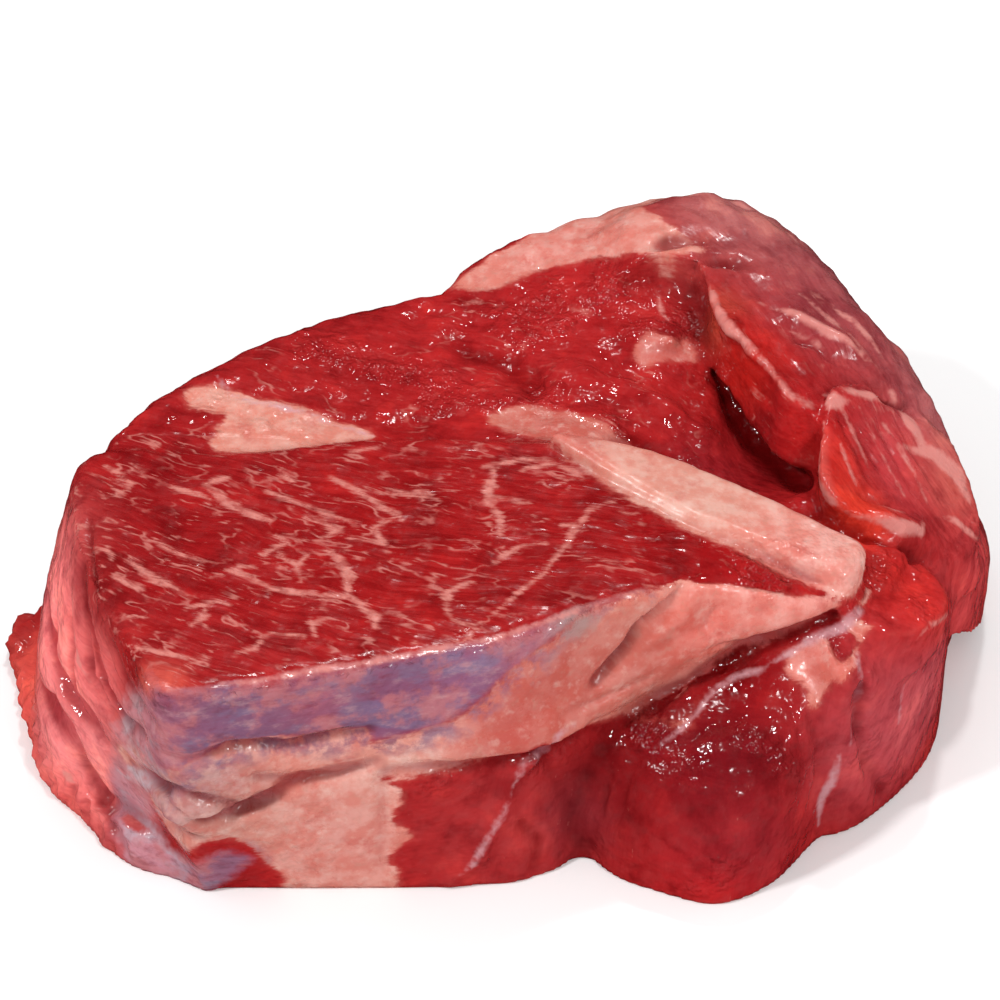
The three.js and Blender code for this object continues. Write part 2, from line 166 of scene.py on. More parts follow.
# Finer folds, pressed into the finished surface in the same way
FOLDS = [
    # The layers of the left wall
    (1.2, 1.0, [(-72, -22, 56), (-72, -30, 56), (-71, -39, 55), (-70, -46, 54), (-69, -51, 51)]),
    (1.6, 1.0, [(-70, -46, 52), (-71, -49, 43), (-69, -52, 38), (-65, -58, 35), (-60, -65, 38)]),
    (1.4, 1.0, [(-72, -44, 50), (-72, -49, 37), (-69, -54, 34), (-65, -58, 31), (-62, -62, 32)]),
    (1.4, 1.0, [(-75, -36, 50), (-75, -43, 39), (-76, -45, 29), (-72, -50, 26), (-67, -55, 23)]),
    (2.2, 1.2, [(-79, -30, 44), (-79, -37, 31), (-77, -44, 27), (-72, -51, 25), (-66, -56, 21)]),
    (2.6, 1.4, [
        (-84, -29, 16), (-80, -40, 22), (-78, -45, 20), (-75, -48, 13), (-71, -51, 8), (-68, -56, 4),
    ]),
    (1.0, 0.8, [(-68, -52, 50), (-67, -55, 45), (-64, -59, 42), (-60, -66, 42)]),
    (1.0, 0.8, [(-66, -56, 52), (-65, -58, 48), (-62, -63, 46), (-59, -68, 46)]),
    # The folds of fat and silverskin on the front wall
    (1.0, 0.9, [(-52, -71, 41), (-46, -70, 41), (-36, -67, 39), (-27, -65, 40), (-20, -64, 39)]),
    (1.0, 0.8, [(-36, -67, 28), (-34, -66, 29), (-27, -65, 30), (-21, -64, 31)]),
    (1.8, 1.0, [(-49, -68, 21), (-47, -68, 22), (-44, -67, 23), (-39, -66, 25), (-35, -66, 27)]),
    (1.4, 0.9, [
        (-65, -57, 24), (-63, -59, 24), (-57, -67, 28), (-55, -70, 26), (-53, -69, 23), (-48, -68, 21),
    ]),
    (1.2, 0.9, [(-60, -62, 22), (-59, -62, 18), (-56, -66, 16), (-53, -67, 16)]),
    (-0.8, 1.6, [(-58, -67, 25), (-56, -70, 24), (-52, -70, 22)]),
    (1.5, 0.7, [(33, -42, 55), (29, -45, 51), (24, -47, 48), (21, -49, 43), (18, -50, 40), (14, -53, 37)]),
    (-1.2, 2.2, [(34, -43, 53), (31, -45, 48), (27, -47, 45), (23, -49, 42)]),
    (0.5, 0.8, [(30, -46, 40), (36, -46, 40), (42, -43, 40), (50, -41, 41), (56, -40, 43)]),
    (0.9, 0.9, [(38, -43, 50), (36, -44, 46), (38, -44, 42)]),
    (0.8, 0.8, [(45, -42, 49), (43, -43, 45), (44, -43, 41)]),
    (0.8, 0.9, [(8, -58, 34), (10, -57, 35), (21, -51, 36), (26, -49, 37), (31, -47, 40)]),
    # The lobes of lean on the right
    (1.2, 1.0, [(61, -43, 41), (62, -47, 38), (63, -49, 34), (63, -50, 27), (65, -49, 18), (68, -45, 6)]),
    (0.8, 1.0, [(52, -49, 35), (55, -53, 28), (57, -53, 16), (54, -57, 6)]),
    (0.6, 0.8, [(48, -49, 37), (52, -54, 29), (54, -56, 18), (51, -60, 8)]),
    (0.7, 0.7, [(21, -55, 27), (19, -57, 20), (18, -58, 13), (17, -58, 5)]),
    (0.6, 0.7, [(17, -55, 27), (14, -57, 20), (13, -58, 12), (13, -58, 4)]),
    (0.6, 0.7, [(25, -54, 28), (22, -58, 21), (21, -60, 14), (21, -60, 7)]),
    (-0.8, 2.4, [(36, -57, 29), (42, -58, 29), (47, -58, 28)]),
    (0.9, 1.4, [(30, -56, 26), (36, -55, 31), (43, -54, 33), (49, -53, 33)]),
    # The rim and hollow of the cap's cut face, the tongue, and the furrows of the cap
    (-0.8, 1.0, [(38, 32, 65), (39, 26, 65), (41, 18, 64), (48, 7, 63), (52, 0, 62), (58, -2, 60)]),
    (-0.7, 0.8, [(41, 20, 54), (44, 11, 52), (49, 3, 50), (55, -5, 48)]),
    (0.6, 0.9, [(44, 12, 59), (50, 3, 57), (54, -3, 55)]),
    (1.0, 0.9, [(60, 4, 60), (66, 7, 58), (73, 8, 54), (80, 7, 48)]),
    (-1.2, 1.2, [(62, -19, 50), (67, -19, 50), (72, -19, 47), (75, -16, 43), (76, -12, 42)]),
    (1.2, 0.9, [(62, -15, 51), (67, -15, 49), (71, -14, 46), (73, -12, 44)]),
    (-1.2, 1.0, [(53, -14, 53), (56, -16, 52), (58, -19, 51)]),
    (0.6, 0.6, [(60, 0, 59), (64, -6, 54), (67, -13, 49)]),
    (0.6, 0.6, [(63, 1, 57), (67, -5, 52), (71, -11, 47)]),
    (0.6, 0.6, [(67, 2, 55), (72, -4, 49), (76, -10, 44)]),
    (0.7, 0.7, [(73, 3, 51), (78, -3, 46), (82, -9, 41)]),
    (1.2, 1.0, [(28, 39, 65), (32, 41, 66), (37, 41, 67), (43, 41, 66)]),
    (0.9, 0.9, [(38, 35, 66), (42, 35, 65), (47, 36, 65)]),
    (1.0, 1.0, [(68, 9, 57), (70, 7, 55), (74, 8, 52), (77, 13, 50)]),
    (-0.9, 1.2, [(50, 24, 63), (54, 22, 63), (61, 18, 61), (68, 14, 58)]),
    (0.9, 1.0, [(52, 18, 62), (58, 15, 61), (65, 11, 58)]),
    # The rear muscle's curve, lumps and ridge
    (0.8, 1.0, [(2, 21, 55), (6, 17, 55), (7, 11, 55), (5, 4, 55)]),
    (-1.0, 1.8, [(10, 18, 56), (11, 12, 56), (9, 6, 55)]),
    (-1.0, 1.4, [(22, 10, 55), (28, 8, 54), (35, 4, 51), (41, 2, 46)]),
    (0.7, 1.0, [(15, 16, 56), (22, 14, 56), (28, 12, 55), (36, 9, 51)]),
    (-1.2, 1.6, [(26, 21, 56), (30, 22, 56), (35, 22, 56)]),
]

# The eight corners of a grid cell, and the primes that scramble its place for the noise
CORNERS = [np.array((c & 1, c >> 1 & 1, c >> 2)) for c in range(8)]
HASH_PRIMES = (73856093, 19349663, 83492791)


def smoothstep(value, start, end):
    share = np.clip((value - start) / (end - start), 0, 1)
    return share * share * (3 - 2 * share)


def smooth_outline(points, sides_per_point=5):
    """A closed Catmull-Rom curve through the points, as a polygon of short straight sides."""
    points = np.array(points, float)
    ends = np.roll(points, -1, axis=0)
    leaving = (ends - np.roll(points, 1, axis=0)) / 2
    arriving = np.roll(leaving, -1, axis=0)
    polygon = []
    for t in np.arange(sides_per_point) / sides_per_point:
        polygon.append(
            (2 * t**3 - 3 * t**2 + 1) * points
            + (t**3 - 2 * t**2 + t) * leaving
            + (3 * t**2 - 2 * t**3) * ends
            + (t**3 - t**2) * arriving
        )
    return np.stack(polygon, axis=1).reshape(-1, 2)


def plan_distance(polygon, x, y):
    """Distance from each plan position to a polygon, below zero inside it."""
    nearest = np.full(x.shape, np.inf)
    inside = np.zeros(x.shape, bool)
    for (ax, ay), (bx, by) in zip(polygon, np.roll(polygon, -1, axis=0)):
        dx, dy = bx - ax, by - ay
        along = np.clip(((x - ax) * dx + (y - ay) * dy) / (dx * dx + dy * dy), 0, 1)
        nearest = np.minimum(nearest, (x - ax - along * dx) ** 2 + (y - ay - along * dy) ** 2)
        if dy:
            inside ^= ((ay > y) != (by > y)) & (x < ax + dx * (y - ay) / dy)
    return np.where(inside, -np.sqrt(nearest), np.sqrt(nearest))


def path_distance(path, points):
    """Distance from each point to a path of straight pieces, and how far along the path it is, 0 to 1."""
    path = np.array(path, float)
    lengths = np.linalg.norm(np.diff(path, axis=0), axis=1)
    passed = np.concatenate([[0], np.cumsum(lengths)])
    nearest, share = np.full(len(points), np.inf), np.zeros(len(points))
    for start, run, length, before in zip(path, np.diff(path, axis=0), lengths, passed):
        along = np.clip((points - start) @ run / length**2, 0, 1)
        gap = points - start - along[:, None] * run
        gap = np.einsum("ij,ij->i", gap, gap)
        closer = gap < nearest
        nearest = np.where(closer, gap, nearest)
        share = np.where(closer, (before + along * length) / passed[-1], share)
    return np.sqrt(nearest), share


def near_path(path, points, reach):
    """The points within reach of a path's box, and how far each is from the path and along it."""
    low, high = np.min(path, axis=0) - reach, np.max(path, axis=0) + reach
    near = np.flatnonzero(np.all((points > low) & (points < high), axis=1))
    return near, *path_distance(path, points[near])


def face_height(face, x, y):
    at, tilt = face.get("at", (0, 0)), face.get("tilt", (0, 0))
    height = face["level"] + tilt[0] * (x - at[0]) + tilt[1] * (y - at[1])
    for hill_x, hill_y, radius, rise in face.get("hills", []):
        height = height + rise * np.exp(-((x - hill_x) ** 2 + (y - hill_y) ** 2) / radius**2)
    return height


def rounded_corner(wall, face, radius):
    """The corner between a wall and a face, rounded to the radius."""
    outside = np.hypot(np.maximum(wall + radius, 0), np.maximum(face + radius, 0))
    return outside + np.minimum(np.maximum(wall + radius, face + radius), 0) - radius


def blended_union(a, b, blend):
    """A union whose inner corner is filled over about the blend's width."""
    share = np.maximum(blend - np.abs(a - b), 0) / blend
    return np.minimum(a, b) - share * share * blend * 0.25


def muscle(grid, outline, face, edge, spread=None, thickness=None):
    """A muscle inside its outline, from the board or a thickness below its cut face up to that face."""
    x, y, z = grid
    wall = plan_distance(smooth_outline(outline), x, y)
    if spread:
        wall = wall - spread(x, y, z)
    height = face_height(face, x, y)
    solid = rounded_corner(wall, z - height, edge)
    return solid if thickness is None else np.maximum(solid, height - thickness - z)


def eye_spread(x, y, z):
    """The left wall leans out to the board and swells at half height. The front wall leans in at the
    left and out from the middle on.
    """
    down = np.clip(1 - z / THICKNESS, 0, 1)
    left = 12 * down**0.9 * smoothstep(-x, 45, 70) * smoothstep(y, -76, -30)
    front = down * smoothstep(-y, 40, 56) * np.clip(5 + (x - 5) * 13 / 55, -8, 5)
    return left + front + 2.5 * np.sin(np.pi * down) * smoothstep(-x, 20, 60) * smoothstep(-y, 0, 30)


def cap_cut_spread(x, y, z):
    """The cap's cut face leans out as it goes down. Below its lower rim it draws back over the cleft."""
    rim = 54 - 0.47 * (x - 40)
    lean = 0.25 * np.clip(THICKNESS + 6 - z, 0, 14) * smoothstep(x, 36, 46)
    return lean - 8 * smoothstep(rim - z, 0, 4) * smoothstep(x, 36, 44)


def steak_field(grid):
    """The steak's distance field, before its creases."""
    cap_cut = muscle(grid, CAP_CUT_OUTLINE, TALL, edge=1, spread=cap_cut_spread)
    field = np.maximum(muscle(grid, CAP_OUTLINE, CAP_FACE, edge=11), cap_cut)
    pieces = [
        (muscle(grid, REAR_OUTLINE, REAR_FACE, edge=5), 5),
        (muscle(grid, TONGUE_OUTLINE, TONGUE_FACE, edge=1, thickness=9), 1),
        (muscle(grid, EYE_OUTLINE, EYE_FACE, edge=3, spread=eye_spread), 1),
        (muscle(grid, WEDGE_OUTLINE, WEDGE_FACE, edge=1, thickness=9), 1),
        (muscle(grid, HEEL_OUTLINE, HEEL_FACE, edge=6, thickness=20), 4),
        (muscle(grid, ROUND_LOBE_OUTLINE, ROUND_LOBE_FACE, edge=14), 3),
        (muscle(grid, RIGHT_LOBE_OUTLINE, RIGHT_LOBE_FACE, edge=6), 3),
        (muscle(grid, SKIRT_OUTLINE, SKIRT_FACE, edge=2), 3),
        (muscle(grid, FAT_BAR_OUTLINE, FAT_BAR_FACE, edge=2, thickness=12), 1),
    ]
    for piece, blend in pieces:
        field = blended_union(field, piece, blend)
    return field


def crease_depth(points, creases, taper=0.0):
    """How far the creases press each point in. They fade over the taper's share of each end."""
    depth = np.zeros(len(points))
    for press, width, path in creases:
        near, gap, share = near_path(path, points, 2 * width)
        ends = smoothstep(np.minimum(share, 1 - share), 0, taper) if taper else 1
        depth[near] += press * ends * np.exp(-((gap / width) ** 2))
    return depth


def fold_depth(points):
    """How far the folds press the surface in: a narrow line in a shallow dip."""
    wavy = points + 0.6 * np.stack([gradient_noise(points, 5, seed) for seed in (5, 6, 7)], axis=1)
    dips = [(0.35 * press, 3 * width, path) for press, width, path in FOLDS]
    return crease_depth(wavy, FOLDS, FOLD_TAPER) + crease_depth(wavy, dips, FOLD_TAPER)


def sampled_field():
    """The field on the grid, and the grid's low corner."""
    low = np.array((-REACH[0], -REACH[1], 0)) - 2.5 * GRID
    high = np.array(REACH) + 2.5 * GRID
    axes = [np.arange(start, end, GRID) for start, end in zip(low, high)]
    x, y = np.meshgrid(axes[0], axes[1], indexing="ij")
    values = steak_field((x[..., None], y[..., None], axes[2][None, None, :]))
    near = np.nonzero(np.abs(values) < CREASE_REACH)
    points = np.stack([axis[index] for axis, index in zip(axes, near)], axis=1)
    values[near] += crease_depth(points, CREASES)
    return np.maximum(values, -axes[2]), low


def crossed_cells(inside, cell_shape):
    """The grid cells that have corners on both sides of the surface."""
    count = np.zeros(cell_shape, int)
    for corner in CORNERS:
        count += inside[tuple(slice(c, c + n) for c, n in zip(corner, cell_shape))]
    return np.argwhere((count > 0) & (count < 8))


def net_places(values, cells):
    """A place in each cell: the mean of where the surface crosses its edges, in grid steps."""
    total, found = np.zeros((len(cells), 3)), np.zeros(len(cells))
    for corner in CORNERS:
        start = values[tuple((cells + corner).T)]
        for axis in np.flatnonzero(corner == 0):
            step = np.eye(3, dtype=int)[axis]
            end = values[tuple((cells + corner + step).T)]
            crossed = (start < 0) != (end < 0)
            share = start[crossed] / (start[crossed] - end[crossed])
            total[crossed] += corner + step * share[:, None]
            found[crossed] += 1
    return cells + total / found[:, None]


def net_quads(inside, cells, cell_shape):
    """One quad round each grid edge that the surface crosses, with its front outward."""
    number = np.full(cell_shape, -1)
    number[tuple(cells.T)] = np.arange(len(cells))
    quads = []
    for axis in range(3):
        step, u, v = (np.eye(3, dtype=int)[(axis + turn) % 3] for turn in range(3))
        here = inside[tuple(slice(1, n - s) for n, s in zip(inside.shape, step))]
        there = inside[tuple(slice(1 + s, n) for n, s in zip(inside.shape, step))]
        starts = np.argwhere(here != there) + 1
        starts = starts[np.all(starts < cell_shape, axis=1)]
        ring = [number[tuple((starts - back).T)] for back in (u + v, v, 0 * u, u)]
        quad = np.stack(ring, axis=1)
        leaving = inside[tuple(starts.T)]
        quads.append(np.where(leaving[:, None], quad, quad[:, ::-1]))
    return np.concatenate(quads)


def surface_net(values, low):
    """The zero surface: one vertex in each cell that it crosses, one quad round each grid edge."""
    inside = values < 0
    cell_shape = np.array(values.shape) - 1
    cells = crossed_cells(inside, cell_shape)
    return low + net_places(values, cells) * GRID, net_quads(inside, cells, cell_shape)


def sample(values, low, points):
    """The sampled field between its grid nodes."""
    place = (points - low) / GRID
    base = np.clip(place.astype(int), 0, np.array(values.shape) - 2)
    part = place - base
    total = np.zeros(len(points))
    for corner in CORNERS:
        weight = np.prod(np.where(corner, part, 1 - part), axis=1)
        total += weight * values[tuple((base + corner).T)]
    return total


def split_quads(vertices, quads):
    """Two triangles for each quad, along its shorter diagonal."""
    a, b, c, d = (vertices[quads[:, i]] for i in range(4))
    short = np.linalg.norm(a - c, axis=1) <= np.linalg.norm(b - d, axis=1)
    first = np.where(short[:, None], quads[:, [0, 1, 2]], quads[:, [0, 1, 3]])
    second = np.where(short[:, None], quads[:, [0, 2, 3]], quads[:, [1, 2, 3]])
    return np.concatenate([first, second])


def refine(vertices, triangles, marked):
    """Halves every edge whose two ends are marked, and splits the triangles that have such edges."""
    edges = np.sort(np.stack([triangles, np.roll(triangles, -1, axis=1)], axis=2), axis=2)
    halved = marked[edges].all(axis=2)
    keys = edges[..., 0] * len(vertices) + edges[..., 1]
    unique, place = np.unique(keys[halved], return_inverse=True)
    middle = np.full(keys.shape, -1)
    middle[halved] = place + len(vertices)
    ends = np.stack([unique // len(vertices), unique % len(vertices)], axis=1)
    vertices = np.concatenate([vertices, vertices[ends].mean(axis=1)])
    pieces = [triangles[halved.sum(axis=1) == 0]]
    for turn in range(3):
        a, b, c = np.roll(triangles, -turn, axis=1).T
        ab, bc, ca = np.roll(middle, -turn, axis=1).T
        one = (ab >= 0) & (bc < 0) & (ca < 0)
        two = (ab >= 0) & (bc >= 0) & (ca < 0)
        pieces += [np.stack(t, axis=1)[one] for t in ((a, ab, c), (ab, b, c))]
        pieces += [np.stack(t, axis=1)[two] for t in ((a, ab, c), (ab, bc, c), (ab, b, bc))]
    a, b, c = triangles.T
    ab, bc, ca = middle.T
    three = halved.all(axis=1)
    pieces += [np.stack(t, axis=1)[three] for t in ((a, ab, ca), (ab, b, bc), (bc, c, ca), (ab, bc, ca))]
    return vertices, np.concatenate(pieces)


def gradient_noise(points, size, seed=0):
    """Smooth noise from about -1 to 1 with lumps of the given size."""
    place = points / size + 17.3 * seed
    base = np.floor(place).astype(np.int64)
    part = place - base
    fade = part**3 * (part * (part * 6 - 15) + 10)
    total = np.zeros(len(points))
    for corner in CORNERS:
        cell = (base + corner) * HASH_PRIMES
        code = (cell[:, 0] ^ cell[:, 1] ^ cell[:, 2]) & 0x7FFFFFFF
        code = (code * 1103515245 + 12345) >> 8 & 0xFFFFFF
        turn, rise = code % 4096 * (2 * np.pi / 4096), code // 4096 / 2048.0 - 1
        flat = np.sqrt(1 - rise**2)
        slope = np.stack([flat * np.cos(turn), flat * np.sin(turn), rise], axis=1)
        weight = np.prod(np.where(corner, fade, 1 - fade), axis=1)
        total += weight * np.einsum("ij,ij->i", slope, part - corner)
    return 1.6 * total


LIGHT = 1.3  # how bright the studio is: colours are given as they look there

# Colours, as they look in the studio's light, from 0 to 255. A tint above that makes up for a wall that
# the lamps leave dim.
LEAN = (178, 42, 44)
FAT = (240, 166, 150)
MARBLING = (226, 138, 128)
STRAND = (222, 168, 174)
RIM = (232, 146, 138)
# pale fibres: connective tissue, with a painted sheen of light along them
PALE_FIBRE = (206, 72, 70)
BLUSH = (206, 92, 84)
PALE_FAT = (244, 200, 186)
DULL_FAT = (206, 146, 130)
PURPLE_SKIN = (156, 84, 104)
PINK_SKIN = (200, 118, 122)
SKIN_VEIN = (130, 52, 70)
SKIN_FIBRE = (216, 164, 166)
# painted highlight laid on the ridges that stand out
RIDGE_HIGHLIGHT = (232, 110, 100)

# Where the lean, the fat and the silverskin have another tint, some of it painted shade or light as
# marked: x, y, z, radius and colour
LEAN_TINTS = [
    (-62, -38, 56, 16, (156, 24, 28)),
    (-64, -18, 56, 12, (160, 28, 32)),
    (-20, -32, 56, 22, (168, 28, 30)),
    (30, -26, 56, 16, (162, 22, 26)),
    (10, 30, 56, 26, (190, 44, 46)),
    (46, 52, 64, 13, (206, 130, 128)),
    (62, 28, 62, 12, (166, 74, 80)),
    (70, 40, 52, 14, (190, 122, 124)),
    (84, 18, 42, 14, (196, 124, 126)),
    (84, 0, 42, 7, (216, 106, 94)),
    (41, 23, 60, 4, (240, 104, 78)),
    (36, 25, 57, 4, (120, 22, 28)),
    (45, 12, 58, 7, (226, 44, 34)),
    (55, -4, 54, 7, (204, 36, 38)),
    # Painted shade in the cleft under the cap's cut face
    (41, 10, 46, 6, (140, 26, 30)),
    (49, -1, 45, 6, (130, 24, 28)),
    (38, -6, 50, 7, (150, 40, 48)),
    (70, -4, 50, 9, (214, 74, 78)),
    (62, -9, 54, 5, (238, 62, 48)),
    (64, -17, 49, 5, (244, 70, 50)),
    # The left wall and its fringe: their own pale pink and red, lifted above 255 as painted light where
    # the lamps leave the wall dim
    (-84, -36, 32, 14, (306, 166, 164)),
    (-80, -30, 44, 9, (330, 178, 174)),
    (-74, -52, 42, 8, (306, 156, 152)),
    (-78, -46, 16, 12, (292, 172, 170)),
    (-88, -20, 4, 10, (270, 112, 100)),
    (-78, -46, 3, 7, (270, 112, 100)),
    (-57, -70, 52, 4, (238, 112, 96)),
    (0, -61, 14, 12, (184, 58, 60)),
    (12, -57, 12, 6, (150, 58, 66)),
    # Painted shade in the hollow below the fat seam
    (40, -46, 36, 8, (138, 20, 26)),
    # The round lobe's dark middle, here and at (30, -58, 30): its own deep red, darkened further with
    # painted shade
    (38, -58, 26, 9, (104, 22, 32)),
    (42, -66, 10, 9, (160, 46, 54)),
    (30, -58, 30, 7, (120, 20, 28)),
    (38, -68, 3, 7, (206, 40, 42)),
    # Painted shade in the valley between the lobes
    (18, -54, 16, 8, (108, 18, 24)),
    (70, -42, 22, 13, (206, 88, 96)),
    (72, -34, 42, 8, (214, 50, 46)),
    (88, -4, 24, 13, (238, 90, 92)),
    (78, -38, 20, 8, (232, 108, 114)),
    (52, -38, 52, 7, (168, 32, 34)),
]
FAT_TINTS = [
    (26, -50, 40, 8, (206, 114, 104)),
    (60, -32, 57, 10, (250, 184, 174)),
    (34, -22, 57, 10, (240, 186, 170)),
    (10, 0, 55, 9, (206, 102, 94)),
    (31, 21, 56, 6, (214, 104, 100)),
    (14, 48, 60, 18, (236, 152, 142)),
    (-2, -60, 36, 12, (204, 84, 78)),
    (-14, -64, 32, 9, (256, 212, 198)),
    (12, -56, 42, 9, (214, 106, 96)),
    (50, -42, 48, 12, (250, 156, 146)),
    (34, -46, 44, 7, (238, 110, 98)),
    (57, -45, 38, 6, (226, 120, 110)),
    (-30, -66, 14, 14, (232, 156, 146)),
    (-54, -66, 30, 10, (186, 146, 150)),
    (-46, -66, 20, 8, (218, 168, 154)),
]
SKIN_TINTS = [
    (-64, -60, 44, 9, (222, 146, 150)),
    (-66, -58, 26, 9, (240, 172, 176)),
    (-62, -60, 8, 9, (230, 160, 170)),
    (-50, -68, 9, 7, (150, 108, 134)),
    (-44, -70, 46, 9, (134, 96, 126)),
    (-30, -67, 52, 6, (176, 100, 120)),
    (-20, -64, 44, 8, (138, 92, 124)),
    (-4, -60, 48, 8, (150, 104, 138)),
    (4, -57, 53, 6, (196, 116, 130)),
    (16, -52, 51, 8, (204, 142, 136)),
]

# Patches of the surface: each is an outline seen from above or from the front, in mm
FAT_PATCHES = [
    ("top", [
        (9, -7), (21, -7), (30, -9), (38, -13), (47, -18), (57, -24), (65, -29), (62, -39), (53, -38),
        (44, -34), (34, -30), (25, -24), (16, -16),
    ]),
    ("top", [
        (-57, 9), (-51, 10), (-44, 7), (-34, 4), (-23, -2), (-31, -5), (-41, -8), (-51, -8), (-51, -3),
        (-50, 2), (-56, 4),
    ]),
    ("top", [(-2, 1), (0, 4), (5, 5), (12, 3), (20, 0), (29, -6), (24, -8), (10, -5), (2, -2)]),
    ("top", [
        (-9, 40), (-3, 45), (6, 51), (20, 59), (30, 64), (40, 66), (42, 60), (30, 56), (27, 51), (32, 45),
        (38, 38), (30, 37), (20, 41), (8, 42), (0, 38),
    ]),
    ("top", [(25, 19), (28, 23), (32, 22), (35, 23), (36, 20), (32, 19), (28, 17)]),
    ("front", [
        (-10, 39), (-3, 43), (1, 47), (10, 52), (17, 54), (26, 54), (33, 54), (36, 54), (45, 52), (55, 49),
        (59, 46), (55, 44), (52, 42), (45, 39), (39, 37), (33, 31), (27, 30), (21, 29), (10, 31), (0, 30),
        (-10, 28), (-21, 28), (-22, 36),
    ]),
    ("front", [
        (-46, 41), (-28, 40), (-22, 38), (-21, 28), (-17, 24), (-19, 18), (-16, 13), (-20, 8), (-18, 3),
        (-20, -3), (-38, -3), (-38, 3), (-41, 10),
        (-46, 17), (-52, 16), (-56, 12), (-61, 18), (-59, 27), (-66, 23), (-64, 30),
    ]),
    ("front", [(50, 38), (55, 41), (60, 43), (65, 45), (62, 40), (58, 37), (55, 32), (53, 35)]),
]
SKIN_PATCHES = [
    ("front", [
        (-66, 22), (-66, 36), (-60, 50), (-55, 55), (-40, 55), (0, 55), (20, 55), (24, 54), (17, 54),
        (10, 52), (6, 48), (1, 47), (-3, 43), (-10, 39), (-22, 37), (-46, 40),
    ]),
    ("front", [
        (-67, 24), (-59, 27), (-61, 12), (-56, 8), (-50, 12), (-44, 10), (-52, 0), (-66, 0), (-69, 12),
    ]),
]

# Pale streaks in the eye's cut face: half width and a path in plan
EYE_STREAKS = [
    (0.9, [(-52, -19), (-48, -24), (-44, -27)]),
    (0.6, [(-46, -26), (-40, -29)]),
    (0.6, [(-52, -19), (-48, -17)]),
    (0.5, [(-58, -20), (-55, -21), (-51, -23)]),
    (0.3, [(-70, -14), (-68, -16), (-65, -19)]),
    (0.6, [(-30, -17), (-25, -21), (-20, -26), (-18, -28)]),
    (0.4, [(-18, -28), (-22, -31), (-20, -35), (-26, -34)]),
    (0.4, [(-41, -21), (-34, -25), (-27, -29), (-25, -30)]),
    (0.5, [(-34, -28), (-28, -31), (-30, -33)]),
    (0.4, [(-39, -33), (-37, -35), (-41, -38)]),
    (0.3, [(-39, -37), (-35, -41), (-34, -45)]),
    (0.25, [(-35, -41), (-33, -38)]),
    (0.8, [(-30, -37), (-28, -39), (-26, -43), (-26, -48)]),
    (0.6, [(-26, -48), (-24, -51), (-21, -54), (-21, -57)]),
    (0.7, [(-39, -47), (-34, -48), (-30, -49)]),
    (0.4, [(-47, -42), (-43, -44), (-39, -47)]),
    (0.4, [(-47, -42), (-43, -41)]),
    (0.35, [(-30, -49), (-26, -49)]),
    (0.6, [(-64, -39), (-60, -44), (-55, -47)]),
    (0.6, [(-66, -44), (-61, -47)]),
    (0.3, [(-60, -34), (-55, -38), (-51, -40)]),
    (0.3, [(-68, -36), (-67, -39)]),
    (0.35, [(-53, -52), (-48, -50), (-46, -51)]),
    (0.35, [(-50, -52), (-50, -54), (-52, -56)]),
    (0.45, [(-64, -60), (-57, -63), (-49, -65)]),
    (0.35, [(-40, -59), (-38, -58), (-33, -59)]),
    (0.35, [(-44, -63), (-41, -62), (-40, -60)]),
    (0.3, [(-32, -55), (-31, -59)]),
    (0.4, [(-39, -15), (-37, -18)]),
    (0.35, [(-27, -10), (-22, -9)]),
    (0.9, [(-15, -21), (-12, -22)]),
    (0.4, [(-20, -21), (-11, -23)]),
    (0.8, [(-1, -15), (-2, -21), (-2, -24)]),
    (0.55, [(-2, -24), (0, -28), (0, -33)]),
    (0.6, [(-3, -14), (4, -12), (10, -13)]),
    (0.4, [(4, -15), (10, -13)]),
    (0.9, [(11, -14), (14, -16), (17, -13)]),
    (0.3, [(0, -23), (5, -24)]),
    (0.35, [(-1, -40), (3, -36), (8, -35)]),
    (0.5, [(11, -30), (13, -30), (12, -33)]),
    (0.22, [(22, -22), (16, -25), (12, -34), (8, -42), (-1, -53)]),
    (0.4, [(17, -24), (16, -26)]),
    (0.5, [(-5, -45), (-9, -48), (-9, -53)]),
    (0.25, [(-9, -53), (-8, -55), (-4, -57)]),
    (0.4, [(-19, -26), (-17, -29)]),
    (0.25, [(21, -26), (23, -27), (24, -26)]),
    (0.25, [(23, -35), (25, -39)]),
    (0.3, [(33, -37), (35, -40)]),
]

# Bluish strands of sinew: half width and a path through x, y, z
STRANDS = [
    (0.9, [(13, -56, 33), (10, -58, 32), (8, -57, 28), (4, -60, 27), (2, -62, 22)]),
    (0.7, [(2, -62, 22), (1, -62, 18), (-2, -63, 12), (-5, -64, 6), (-8, -64, 3)]),
    (1.4, [(65, -38, 46), (60, -42, 43), (55, -43, 41), (50, -45, 39)]),
    (0.6, [(50, -45, 39), (45, -47, 37), (41, -47, 36), (37, -49, 34), (34, -52, 31)]),
    (0.2, [(34, -52, 31), (31, -54, 29), (27, -55, 26)]),
    (0.6, [(63, -43, 43), (62, -47, 39), (63, -49, 34), (63, -50, 28), (62, -50, 22)]),
    (0.9, [(60, -51, 20), (59, -51, 14), (57, -52, 10), (57, -52, 4)]),
    (0.5, [(72, -42, 29), (71, -42, 24), (71, -42, 20)]),
    (0.8, [(-52, 13, 55), (-49, 8, 55), (-44, 6, 54), (-34, 3, 54), (-23, -2, 53)]),
]

